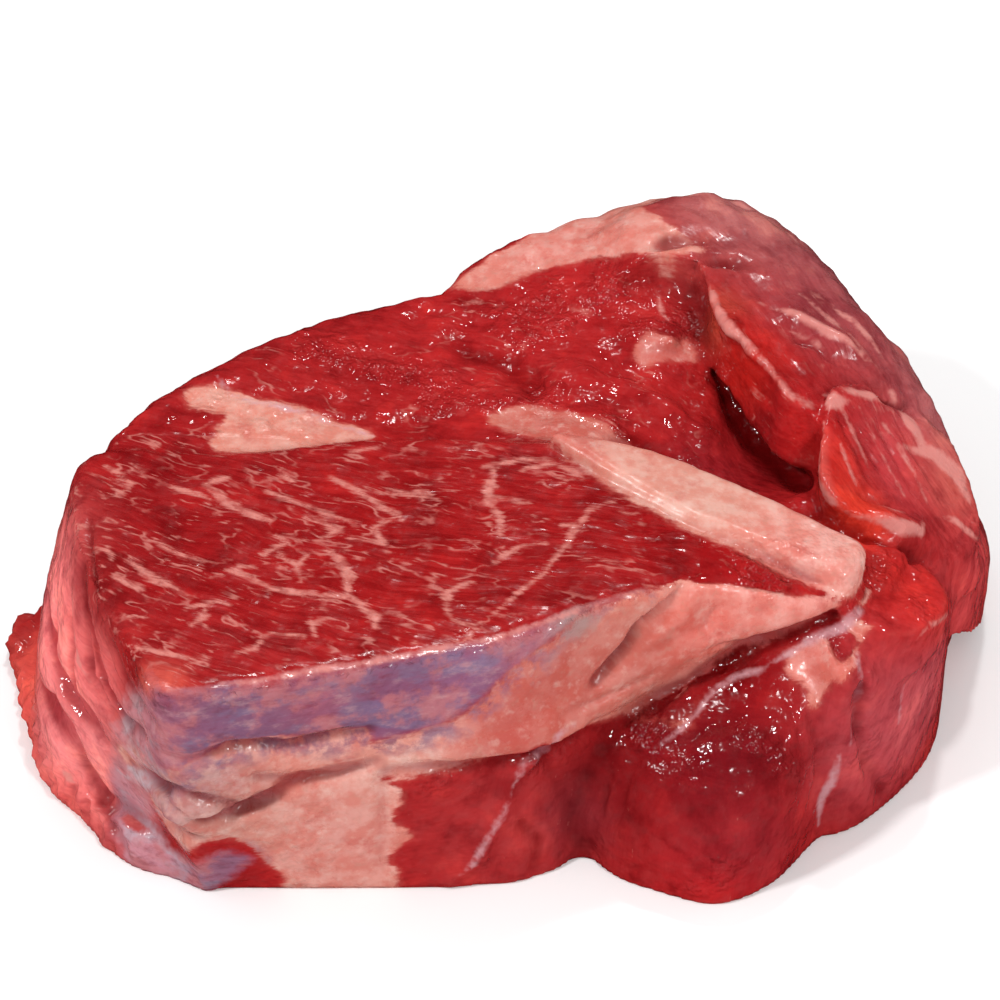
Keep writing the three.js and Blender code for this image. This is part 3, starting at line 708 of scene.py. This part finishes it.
# Pale rims along cut edges: half width and a path through x, y, z
RIMS = [
    (0.5, [(-55, -71, 55), (-41, -69, 55), (-17, -63, 55), (0, -58, 55), (20, -48, 55), (33, -43, 55)]),
    (0.8, [(37, 33, 65), (39, 26, 65), (41, 18, 64), (48, 7, 63), (52, 0, 62), (57, -2, 60)]),
    (2.0, [(49, 5, 63), (52, 1, 62), (56, -1, 61), (60, 0, 60), (66, 2, 58)]),
    (1.0, [(48, 24, 64), (54, 22, 63), (61, 18, 61), (68, 14, 58)]),
    (0.6, [(51, 19, 63), (57, 17, 62), (63, 12, 60)]),
    (0.5, [(41, 20, 53), (44, 11, 51), (49, 3, 49), (55, -5, 47)]),
    (1.3, [(59, 3, 59), (64, 5, 58), (70, 6, 55)]),
    (0.6, [(58, -4, 58), (57, -12, 54), (59, -16, 51)]),
    (0.4, [(61, 1, 59), (65, -5, 53), (68, -12, 48)]),
    (0.4, [(65, 2, 57), (69, -4, 51), (73, -10, 46)]),
    (0.4, [(70, 2, 53), (75, -4, 47), (78, -10, 42)]),
    (0.3, [(60, -4, 57), (62, -9, 54), (64, -14, 50)]),
    (1.5, [(59, -18, 50), (63, -20, 49), (67, -20, 49), (71, -20, 47), (75, -17, 43), (76, -13, 42)]),
    (0.4, [(65, -17, 49), (69, -16, 48), (74, -14, 45)]),
    (1.2, [(57, -13, 53), (58, -17, 51), (61, -20, 49)]),
    (2.0, [(74, 0, 49), (79, 2, 46), (84, 0, 43), (87, -5, 39)]),
    (0.8, [(29, -4, 49), (34, -9, 49), (40, -13, 48), (47, -17, 47), (53, -19, 49)]),
    (0.5, [(28, 36, 61), (30, 33, 59), (30, 29, 57), (32, 26, 57)]),
    (1.4, [(24, 50, 64), (32, 56, 66), (42, 58, 66), (50, 53, 65), (57, 45, 63)]),
    (0.9, [(56, 28, 63), (60, 24, 62), (66, 18, 60), (70, 13, 57)]),
    (0.7, [(60, 28, 62), (66, 24, 60), (70, 18, 57)]),
    (1.3, [(72, 10, 54), (76, 4, 50), (80, 0, 46)]),
    (0.6, [(67, 9, 57), (70, 7, 55), (74, 9, 52)]),
    (0.5, [(-72, -9, 56), (-64, -8, 56), (-54, -8, 56), (-44, -7, 56)]),
    (0.35, [(-74, -30, 54), (-74, -40, 46), (-74, -46, 38), (-71, -51, 34), (-66, -57, 32)]),
    (0.35, [(-77, -34, 46), (-78, -42, 36), (-77, -46, 30), (-72, -51, 27)]),
    (0.4, [(-81, -30, 38), (-81, -38, 29), (-79, -44, 25), (-74, -49, 21)]),
    (0.3, [(-72, -44, 50), (-70, -50, 46), (-67, -56, 40)]),
    (0.3, [(-66, -58, 48), (-64, -61, 44), (-61, -66, 42)]),
    (0.6, [(-88, -20, 10), (-83, -34, 10), (-77, -47, 8), (-71, -55, 6)]),
    (0.7, [(80, -30, 36), (78, -35, 38), (75, -39, 40), (72, -41, 38)]),
    (0.6, [(78, -10, 41), (83, -9, 39), (87, -10, 36), (90, -7, 32)]),
]

# Where small wet beads crowd: x, y, z and radius
WET_SPOTS = [
    (49, -59, 26, 7), (34, -60, 24, 4), (38, -46, 39, 4), (26, -53, 30, 5), (48, -34, 52, 9),
    (58, -32, 48, 7), (70, -30, 44, 7), (88, -2, 30, 10), (68, -48, 16, 6), (38, -67, 6, 7),
    (8, 34, 56, 10), (24, 38, 57, 9), (30, 22, 56, 7), (10, 6, 55, 6), (-8, 12, 56, 9), (-30, 22, 56, 8),
    (20, -4, 54, 7), (38, -8, 50, 6), (-10, -62, 28, 6), (6, -58, 30, 6), (-58, -62, 55, 4),
    (-86, -24, 6, 7), (-52, -68, 24, 5),
]

GRAIN_STRETCH = 8.0  # fibres are about this many times longer than wide

# Lamps: bearing from the front and height in degrees, distance and size in metres, and power in watts
LAMPS = {
    "key": (-58, 50, 1.2, 0.1, 6),
    "fill": (32, 40, 1.4, 0.1, 6.5),
    "top": (165, 70, 1.3, 0.08, 3.5),
}
SKY = 0.62  # strength of the light from all round

# The photograph's camera, which looks along +Y: height in degrees, distance, and the place it looks at
CAMERA_HEIGHT = 40
CAMERA_DISTANCE = 650.0
CAMERA_TARGET = (0, 10, 28)
SENSOR = 36.0
LENS = 3.448 * SENSOR


def patch_distance(points, normals, patches):
    """How far inside the nearest patch each point is, from -FAR to FAR."""
    depth = np.full(len(points), -FAR)
    x, y, z = points.T
    upright = 20 * (0.8 - normals[:, 2])
    for side, outline in patches:
        polygon = smooth_outline(outline, 4)
        across, up = {"top": (x, y), "front": (x, z)}[side]
        faces = {"top": z > PATCH_FLOOR, "front": y < PATCH_BACK}[side]
        low, high = polygon.min(axis=0) - FAR, polygon.max(axis=0) + FAR
        near = faces & (across > low[0]) & (across < high[0]) & (up > low[1]) & (up < high[1])
        near = np.flatnonzero(near)
        inside = -plan_distance(polygon, across[near], up[near])
        inside = np.minimum(inside, upright[near] if side == "front" else z[near] - PATCH_FLOOR - 1)
        depth[near] = np.maximum(depth[near], inside)
    return np.minimum(depth, FAR)


def streak_distance(points, streaks):
    """How far inside the nearest streak each point is, from -FAR up. A path in plan lies on the eye."""
    depth = np.full(len(points), -FAR)
    for half_width, path in streaks:
        path = [(*place, THICKNESS)[:3] for place in path]
        near, gap, share = near_path(path, points, FAR)
        taper = 0.3 + 0.7 * smoothstep(np.minimum(share, 1 - share), 0, 0.4)
        depth[near] = np.maximum(depth[near], 0.85 * half_width * taper - gap)
    return depth


def linear(colour):
    """The surface colour, as linear light, that looks like this one from 0 to 255."""
    return (np.array(colour) / 255) ** 2.2 / LIGHT


def closeness(points, place, radius):
    """How near each point is to a place: 1 there, and fading over the radius."""
    return np.exp(-(np.linalg.norm(points - place, axis=1) / radius) ** 2)


def tinted(points, base, tints, base_share=0.3):
    """A colour for each point: the base, drawn toward the tints that are near."""
    total = np.tile(linear(base) * base_share, (len(points), 1))
    weight = np.full(len(points), base_share)
    for x, y, z, radius, colour in tints:
        near = closeness(points, (x, y, z), radius)
        total += near[:, None] * linear(colour)
        weight += near
    return total / weight[:, None]


def grain_place(points, centres, normals):
    """Points in the fibre frame of their region, whose first axis runs along the fibres and is drawn in.

    The region is chosen by the centres and normals of the faces that the points belong to. Where no
    rule holds, as on the eye, the fibres run from left to right and bend back at the left.
    """
    points = points + 1.3 * np.stack([gradient_noise(points, 9, seed) for seed in (8, 9, 10)], axis=1)
    x, y, z = points.T
    bend = 15.5 * np.maximum((20 - x) / 90, 0) ** 2.5 - 0.12 * x
    grain = np.stack([x / GRAIN_STRETCH, y - bend, z], axis=1)

    def along(direction):
        d = np.array(direction) / np.linalg.norm(direction)
        e = np.cross(d, (0.31, 0.87, 0.38))
        e /= np.linalg.norm(e)
        return points @ np.stack([d / GRAIN_STRETCH, e, np.cross(d, e)], axis=1)

    x, y, z = centres.T
    steep = normals[:, 2] < 0.6
    rules = [
        ((y > -4) & (z > 30), (0.95, -0.3, 0)),
        ((x > 38) & (z > 45) & (y > -14), (0.5, -0.85, -0.15)),
        ((x > 57) & (z > 38) & (y > -22) & (y < 7), (12, -10, -13)),
        (steep & (y < -30), (0.15, 0, 1)),
        (steep & (y < -30) & (x < -4), (1, 0, 0.2)),
        (steep & (x > 60), (0.3, 0.3, 1)),
        (steep & (x < -62), (0.43, -0.86, -0.27)),
    ]
    for rule, direction in rules:
        grain = np.where(rule[:, None], along(direction), grain)
    return grain


def nearness(points, spots):
    """How near each point is to the spots, from 0 to 1."""
    total = np.zeros(len(points))
    for x, y, z, radius in spots:
        total += closeness(points, (x, y, z), radius)
    return np.minimum(total, 1)


def softened(values, spread):
    """The values blurred over about the spread, in grid cells."""
    values = np.clip(values, -2 * spread, 2 * spread)
    for _ in range(2 * spread * spread):
        for axis in range(3):
            values = (np.roll(values, 1, axis) + 2 * values + np.roll(values, -1, axis)) / 4
    return values


def steak_mesh():
    """The steak's vertices, outward normals and triangles, and how far each vertex stands out on a
    ridge, below zero in a hollow.
    """
    values, low = sampled_field()
    vertices, quads = surface_net(values, low)
    triangles = split_quads(vertices, quads)
    x, y, z = vertices.T
    on_eye = (z > face_height(EYE_FACE, x, y) - 2.5) & (y < -4)
    on_eye &= plan_distance(smooth_outline(EYE_OUTLINE), x, y) < 0
    near_fold = np.abs(fold_depth(vertices)) > 0.12
    vertices, triangles = refine(vertices, triangles, on_eye | near_fold)
    slopes = np.gradient(values, GRID)
    for _ in range(2):
        normals = np.stack([sample(slope, low, vertices) for slope in slopes], axis=1)
        normals /= np.linalg.norm(normals, axis=1, keepdims=True) + 1e-9
        vertices -= normals * np.clip(sample(values, low, vertices), -0.4, 0.4)[:, None]
    ridge = sample(softened(values, 2), low, vertices)
    return vertices, normals, triangles, ridge


def roughened(vertices, normals, fat, skin):
    """The surface with its fine relief: folds, lumps, and fibres in the lean."""
    grain = grain_place(vertices, vertices, normals)
    x, y, z = vertices.T
    lean = 1 - smoothstep(np.maximum(fat, skin), -1, 1)
    above = smoothstep(z, 0, 2)
    lumps = 0.35 * gradient_noise(vertices, 7, 1) + 0.22 * gradient_noise(vertices, 3, 2)
    fibres = lean * 0.18 * gradient_noise(grain, 1.6, 3)
    rear = smoothstep(y, -4, 2) * smoothstep(z, 40, 50)
    fringe = smoothstep(-x, 62, 70) * smoothstep(12 - z, 0, 3)
    tatters = fringe * 1.4 * gradient_noise(vertices, 2.2, 4)
    torn = lean * smoothstep(x, 26, 42) * smoothstep(-y, 16, 24) * smoothstep(z, 37, 43)
    coarse = rear * 0.5 * gradient_noise(vertices, 4.5, 11) + torn * 0.7 * gradient_noise(vertices, 3, 12)
    relief = lumps * (0.5 + 0.9 * rear) + coarse + fibres + tatters - fold_depth(vertices)
    return vertices + normals * (relief * above)[:, None]


def store(mesh, name, values, domain="POINT"):
    """Keeps a number or a vector for each vertex or corner, for the material to read."""
    kind, key = ("FLOAT", "value") if values.ndim == 1 else ("FLOAT_VECTOR", "vector")
    mesh.attributes.new(name, kind, domain).data.foreach_set(key, values.astype(np.float32).ravel())


def fibrousness(points, eye_top):
    """How plainly the fibres show: most on the eye and the cap, least on the smooth lobes in front."""
    x, y, z = points.T
    front = smoothstep(-y, 30, 42) * smoothstep(x, -66, -60) * (1 - eye_top)
    cap = smoothstep(x, 55, 65) * smoothstep(y, -22, -18)
    left = smoothstep(-x, 62, 68) * (1 - eye_top)
    return np.clip(0.6 + 0.4 * eye_top + 0.3 * cap - 0.3 * front - 0.1 * left, 0, 1)


def wetness(points, fat, eye_top):
    """How wet each point is: least on the eye's cut face, on the cap and on the firm fat."""
    x, y, z = points.T
    cap = smoothstep(x + 0.6 * y, 50, 60) * smoothstep(z, 40, 46)
    firm = smoothstep(fat, -1, 1) * smoothstep(x, -36, -28)
    return np.where(eye_top, 0.3 + 0.4 * smoothstep(x, 25, 50), 1 - 0.7 * cap) * (1 - 0.6 * firm)


def fleck_share(points, eye_top):
    """How crowded the fine marbling is: most on the eye, less to its right, least on the walls."""
    x, y, z = points.T
    return np.where(eye_top, 1.05 - 0.3 * smoothstep(x, -20, 40), 0.74 - 0.22 * smoothstep(50 - z, 0, 6))


def vertex_marks(vertices, ridge, fat, skin):
    """What the material reads at each vertex."""
    x, y, z = vertices.T
    eye_top = (z > THICKNESS - 2) & (y < -3) & (x < 62)
    return {
        "place": vertices,
        "fat": fat,
        "skin": skin,
        # ridge and groove carry the painted shade of the hollows and creases, and ridge also the painted
        # highlight of the ridges
        "ridge": ridge,
        "groove": crease_depth(vertices, CREASES) + fold_depth(vertices),
        "marbling": streak_distance(vertices, EYE_STREAKS),
        "strand": streak_distance(vertices, STRANDS),
        "rim": streak_distance(vertices, RIMS),
        "lean_tone": tinted(vertices, LEAN, LEAN_TINTS),
        "fat_tone": tinted(vertices, FAT, FAT_TINTS),
        "skin_tone": tinted(vertices, PURPLE_SKIN, SKIN_TINTS),
        "flecks": fleck_share(vertices, eye_top),
        "wet": wetness(vertices, fat, eye_top),
        "fibrous": fibrousness(vertices, eye_top) * (1 - 0.8 * smoothstep(fat, -1, 0.5)),
        "beaded": nearness(vertices, WET_SPOTS),
    }


def corner_grain(vertices, normals, triangles):
    """The fibre frame at the corners of each triangle, which lies wholly in one region."""
    corners = vertices[triangles].reshape(-1, 3)
    centres = np.repeat(vertices[triangles].mean(axis=1), 3, axis=0)
    facing = np.repeat(normals[triangles].mean(axis=1), 3, axis=0)
    return grain_place(corners, centres, facing)


def new_object(name, data):
    made = bpy.data.objects.new(name, data)
    bpy.context.collection.objects.link(made)
    return made


def build_steak():
    vertices, normals, triangles, ridge = steak_mesh()
    fat = patch_distance(vertices, normals, FAT_PATCHES)
    skin = patch_distance(vertices, normals, SKIN_PATCHES)
    surface = roughened(vertices, normals, fat, skin)
    placed = (surface - (MIDDLE[0], MIDDLE[1], 0)) * MM
    placed[:, 2] = np.maximum(placed[:, 2], 0)
    mesh = bpy.data.meshes.new("raw_steak")
    mesh.from_pydata(placed.tolist(), [], triangles.tolist())
    mesh.shade_smooth()
    for name, values in vertex_marks(vertices, ridge, fat, skin).items():
        store(mesh, name, values)
    store(mesh, "grain", corner_grain(vertices, normals, triangles), "CORNER")
    return new_object("raw_steak", mesh)


class Net:
    """A material's nodes, made and joined by name."""

    def __init__(self, material):
        material.use_nodes = True
        self.nodes = material.node_tree.nodes
        self.links = material.node_tree.links
        self.shader = self.nodes["Principled BSDF"]

    def join(self, socket, value):
        if isinstance(value, bpy.types.NodeSocket):
            self.links.new(value, socket)
        else:
            socket.default_value = value

    def mark(self, name, output):
        node = self.nodes.new("ShaderNodeAttribute")
        node.attribute_name = name
        return node.outputs[output]

    def number(self, name):
        return self.mark(name, "Fac")

    def vector(self, name):
        return self.mark(name, "Vector")

    def math(self, operation, a, b=0.0):
        node = self.nodes.new("ShaderNodeMath")
        node.operation = operation
        self.join(node.inputs[0], a)
        self.join(node.inputs[1], b)
        return node.outputs[0]

    def times(self, a, b):
        return self.math("MULTIPLY", a, b)

    def plus(self, a, b):
        return self.math("ADD", a, b)

    def fade(self, value, start, end, low=0.0, high=1.0):
        """The value mapped smoothly from start and end to low and high."""
        node = self.nodes.new("ShaderNodeMapRange")
        node.interpolation_type = "SMOOTHSTEP"
        for name, setting in (("From Min", start), ("From Max", end), ("To Min", low), ("To Max", high)):
            self.join(node.inputs[name], setting)
        self.join(node.inputs["Value"], value)
        return node.outputs[0]

    def mix(self, factor, a, b, blend="MIX"):
        node = self.nodes.new("ShaderNodeMix")
        node.data_type = "RGBA"
        node.blend_type = blend
        self.join(node.inputs["Factor"], factor)
        self.join(node.inputs[6], a)
        self.join(node.inputs[7], b)
        return node.outputs[2]

    def tinge(self, colour, factors):
        """The colour with its red, green and blue multiplied by the factors."""
        return self.mix(1.0, colour, (*factors, 1), "MULTIPLY")

    def noise(self, vector, scale, detail=2.0, stretch=(1, 1, 1), shift=0.0, roughness=0.5):
        """Smooth noise with about scale lumps per mm, stretched along the vector's axes."""
        place = self.nodes.new("ShaderNodeMapping")
        place.inputs["Scale"].default_value = [scale * s for s in stretch]
        place.inputs["Location"].default_value = (shift, shift, shift)
        self.join(place.inputs["Vector"], vector)
        node = self.nodes.new("ShaderNodeTexNoise")
        node.inputs["Scale"].default_value = 1
        node.inputs["Detail"].default_value = detail
        node.inputs["Roughness"].default_value = roughness
        self.join(node.inputs["Vector"], place.outputs[0])
        return node.outputs["Fac"]

    def swing(self, vector, scale, **settings):
        """Noise about zero, from about -0.5 to 0.5."""
        return self.math("SUBTRACT", self.noise(vector, scale, **settings), 0.5)


def shade(colour):
    """A colour from the tables, as the nodes take it."""
    return (*linear(colour), 1)


def lean_colour(net):
    """Red lean, bright and dark in patches, whose fibres run bright and dull."""
    grain, place = net.vector("grain"), net.vector("place")
    bundles = net.noise(grain, 0.5, detail=4, roughness=0.6)
    fibres = net.noise(grain, 2.0, detail=3, stretch=(0.8, 1, 1), roughness=0.6)
    patches = net.noise(place, 0.11, detail=4, shift=3, roughness=0.6)
    tone = net.vector("lean_tone")
    dusky = net.tinge(tone, (0.66, 0.5, 0.56))
    vivid = net.tinge(tone, (1.25, 1.4, 1.25))
    colour = net.mix(net.fade(patches, 0.34, 0.5, 0.8, 0), tone, dusky)
    colour = net.mix(net.fade(patches, 0.52, 0.68), colour, vivid)
    dark = net.tinge(colour, (0.7, 0.46, 0.5))
    # The pale fibres are connective tissue and in part a painted sheen of light
    pale = net.mix(0.4, colour, shade(PALE_FIBRE))
    shown = net.number("fibrous")
    for strands, fade, other in [
        (bundles, (0.4, 0.56, 0.6, 0), dark),
        (bundles, (0.54, 0.72, 0, 0.4), pale),
        (fibres, (0.34, 0.5, 0.55, 0), dark),
        (fibres, (0.56, 0.76, 0, 0.5), pale),
    ]:
        colour = net.mix(net.times(net.fade(strands, *fade), shown), colour, other)
    return colour


def marbled(net, colour):
    """Fine pale lines in crowds, flecks, and streaks of fat over the lean, all frayed along its fibres."""
    grain, place = net.vector("grain"), net.vector("place")
    crowd = net.times(net.noise(place, 0.12, detail=3, shift=8), net.number("flecks"))
    frayed = net.swing(grain, 1.3, detail=4, shift=2, roughness=0.62)
    swirl = net.swing(grain, 0.26, detail=2, stretch=(3.4, 1, 1), shift=5, roughness=0.5)
    line = net.math("ABSOLUTE", net.plus(net.times(frayed, 0.1), swirl))
    gaps = net.noise(place, 0.3, detail=3, shift=16)
    shown = net.times(net.fade(gaps, 0.4, 0.6), net.fade(crowd, 0.36, 0.58, 0, 0.7))
    colour = net.mix(net.times(net.fade(line, 0.045, 0.0), shown), colour, shade(MARBLING))
    dashes = net.noise(grain, 1.1, detail=4, stretch=(1.6, 1, 1), shift=5, roughness=0.62)
    level = net.plus(net.times(crowd, 0.3), dashes)
    colour = net.mix(net.fade(level, 0.76, 0.92, 0, 0.75), colour, shade(MARBLING))
    edge = net.plus(net.times(frayed, 3.2), net.number("marbling"))
    body = net.noise(place, 0.5, detail=2, shift=12)
    share = net.times(net.fade(edge, -0.8, 0.4), net.fade(body, 0.3, 0.62, 0.4, 1.0))
    return net.mix(share, colour, shade(MARBLING))


def fat_colour(net):
    """Firm fat, cream to pink, with faint veins."""
    place = net.vector("place")
    lumps = net.noise(place, 0.22, detail=5, roughness=0.6)
    tone = net.vector("fat_tone")
    warm = net.tinge(tone, (0.92, 0.66, 0.62))
    colour = net.mix(net.fade(lumps, 0.4, 0.62, 1, 0), tone, warm)
    veins = net.noise(place, 0.14, detail=5, shift=4, roughness=0.65)
    colour = net.mix(net.fade(veins, 0.54, 0.7, 0, 0.5), colour, shade(BLUSH))
    pale = net.noise(place, 0.4, detail=4, shift=14, roughness=0.6)
    colour = net.mix(net.fade(pale, 0.5, 0.75, 0, 0.4), colour, shade(PALE_FAT))
    return net.mix(net.fade(pale, 0.3, 0.46, 0.35, 0), colour, shade(DULL_FAT))


def skin_colour(net):
    """Thin silverskin over the lean: violet, blue and pink, with a net of fine pale fibres."""
    place = net.vector("place")
    tone = net.vector("skin_tone")
    broad = net.noise(place, 0.1, detail=5, stretch=(0.6, 1, 1.4), shift=1, roughness=0.6)
    streaks = net.noise(place, 0.3, detail=6, stretch=(0.45, 1, 1.2), shift=6, roughness=0.7)
    pink = net.noise(place, 0.12, detail=5, shift=15, roughness=0.6)
    bluish = net.tinge(tone, (0.8, 1.45, 1.4))
    colour = net.mix(net.fade(broad, 0.46, 0.58, 0, 0.75), tone, bluish)
    colour = net.mix(net.fade(pink, 0.48, 0.62, 0, 0.8), colour, shade(PINK_SKIN))
    colour = net.mix(net.fade(streaks, 0.3, 0.5, 0.5, 0), colour, shade(SKIN_VEIN))
    return net.mix(net.fade(streaks, 0.5, 0.74, 0, 0.5), colour, shade(SKIN_FIBRE))


def surface_colour(net):
    """Lean, silverskin and fat with torn edges, then rims and strands, with painted shade in the hollows
    and creases and painted highlight on the ridges.
    """
    place, grain = net.vector("place"), net.vector("grain")
    wavy = net.times(net.swing(place, 0.22, detail=2, shift=7), 3.5)
    frayed = net.times(net.swing(place, 1.1, detail=3, shift=7), 1.6)
    ragged = net.plus(wavy, frayed)
    halved = net.times(ragged, 0.5)
    torn = net.swing(grain, 0.7, detail=4, shift=17, roughness=0.6)
    edge = net.plus(halved, net.times(torn, 3.2))
    fat = net.fade(net.plus(net.number("fat"), edge), -0.7, 0.5)
    skin = net.fade(net.plus(net.number("skin"), ragged), -1.8, 1.6)
    patches = net.noise(place, 0.16, detail=5, shift=18, roughness=0.62)
    film = net.fade(net.plus(net.number("skin"), ragged), -5.5, -1)
    film = net.times(net.times(film, fat), net.fade(patches, 0.42, 0.56, 0, 0.8))
    strand = net.fade(net.plus(net.number("strand"), halved), -0.6, 0.7, 0, 0.75)
    rim = net.fade(net.plus(net.number("rim"), halved), -0.5, 0.5, 0, 0.88)
    blush = net.fade(net.plus(net.number("fat"), ragged), -1.6, 0.4, 0, 0.5)
    covering = skin_colour(net)
    colour = net.mix(skin, marbled(net, lean_colour(net)), covering)
    colour = net.mix(blush, colour, shade(BLUSH))
    colour = net.mix(fat, colour, fat_colour(net))
    colour = net.mix(film, colour, covering)
    colour = net.mix(rim, colour, shade(RIM))
    colour = net.mix(strand, colour, shade(STRAND))
    # Painted shade: darker where the surface lies in a hollow, by its ridge measure, and along the creases
    # and folds
    hollow = net.tinge(colour, (0.45, 0.16, 0.2))
    colour = net.mix(net.fade(net.number("ridge"), -0.05, -0.9, 0, 0.8), colour, hollow)
    colour = net.mix(net.fade(net.number("groove"), 0.3, 2.2, 0, 0.75), colour, hollow)
    # Painted highlight: lighter where the surface stands out on a ridge
    return net.mix(net.fade(net.number("ridge"), 0.7, 1.3, 0, 0.4), colour, shade(RIDGE_HIGHLIGHT))


def wet_roughness(net):
    """Patches of wet gloss, drier on the eye and on the fat but not where beads crowd."""
    gloss = net.noise(net.vector("place"), 0.4, detail=3, shift=9)
    dry = net.fade(net.number("wet"), 0.3, 1.0, 0.08, 0.0)
    dry = net.plus(dry, net.fade(net.number("fat"), 0, 2, 0, 0.12))
    dry = net.times(dry, net.fade(net.number("beaded"), 0, 0.8, 1, 0.2))
    return net.plus(net.fade(gloss, 0.4, 0.65, 0.08, 0.24), dry)


def wet_relief(net):
    """The height of the fibres, and of the film of wet and its beads."""
    place, grain = net.vector("place"), net.vector("grain")
    fibre = net.times(net.noise(grain, 1.2, detail=2), net.times(net.number("fibrous"), 0.14))
    spread = net.noise(place, 0.09, detail=3, shift=11)
    beads = net.noise(place, 0.8, detail=1, shift=12)
    crowd = net.plus(net.times(net.number("beaded"), 0.25), spread)
    drops = net.times(beads, net.fade(crowd, 0.56, 0.78, 0.06, 1.6))
    swell = net.times(net.noise(place, 0.3, detail=2, shift=13), 1.2)
    return net.plus(fibre, net.times(net.plus(drops, swell), net.number("wet")))


def beef():
    material = bpy.data.materials.new("raw_beef")
    net = Net(material)
    net.join(net.shader.inputs["Base Color"], surface_colour(net))
    net.shader.inputs["Specular IOR Level"].default_value = 0.35
    net.shader.inputs["Subsurface Weight"].default_value = 0.12
    net.shader.inputs["Subsurface Radius"].default_value = (1.0, 0.35, 0.25)
    net.shader.inputs["Subsurface Scale"].default_value = 0.004
    net.join(net.shader.inputs["Roughness"], wet_roughness(net))
    bump = net.nodes.new("ShaderNodeBump")
    bump.inputs["Strength"].default_value = 1.0
    bump.inputs["Distance"].default_value = 0.0007
    net.join(bump.inputs["Height"], wet_relief(net))
    net.join(net.shader.inputs["Normal"], bump.outputs[0])
    return material


def build_floor():
    bpy.ops.mesh.primitive_plane_add(size=6)
    floor = bpy.context.object
    floor.name = "floor"
    material = bpy.data.materials.new("pale_floor")
    material.use_nodes = True
    shader = material.node_tree.nodes["Principled BSDF"]
    shader.inputs["Base Color"].default_value = (1, 1, 1, 1)
    shader.inputs["Roughness"].default_value = 0.6
    floor.data.materials.append(material)
    floor.visible_glossy = False


def look_back(holder, away):
    """Turns a lamp or camera that lies in a direction from the steak to look against that direction."""
    holder.rotation_mode = "QUATERNION"
    holder.rotation_quaternion = (-away).to_track_quat("-Z", "Y")


def area_light(name, azimuth, elevation, distance, size, power):
    """A square light that looks at the steak from a bearing, in degrees from the front, and a height."""
    light = bpy.data.lights.new(name, "AREA")
    light.size = size
    light.energy = power
    lamp = new_object(name, light)
    turn, lift = math.radians(azimuth), math.radians(elevation)
    away = Vector((math.sin(turn) * math.cos(lift), -math.cos(turn) * math.cos(lift), math.sin(lift)))
    lamp.location = away * distance
    look_back(lamp, away)


def light_scene():
    world = bpy.data.worlds.new("studio")
    bpy.context.scene.world = world
    world.use_nodes = True
    background = world.node_tree.nodes["Background"]
    background.inputs["Color"].default_value = (1, 1, 1, 1)
    background.inputs["Strength"].default_value = SKY
    world.cycles_visibility.glossy = False
    for name, settings in LAMPS.items():
        area_light(name, *settings)
    bpy.context.scene.view_settings.view_transform = "Standard"


def add_camera():
    height = math.radians(CAMERA_HEIGHT)
    target = Vector((CAMERA_TARGET[0] - MIDDLE[0], CAMERA_TARGET[1] - MIDDLE[1], CAMERA_TARGET[2]))
    back = Vector((0, -math.cos(height), math.sin(height)))
    camera = bpy.data.cameras.new("camera")
    camera.sensor_width = SENSOR
    camera.lens = LENS
    holder = new_object("camera", camera)
    holder.location = (target + back * CAMERA_DISTANCE) * MM
    look_back(holder, back)
    bpy.context.scene.camera = holder


steak = build_steak()
steak.data.materials.append(beef())
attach(steak, "root")
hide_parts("steak")
build_floor()
light_scene()
add_camera()
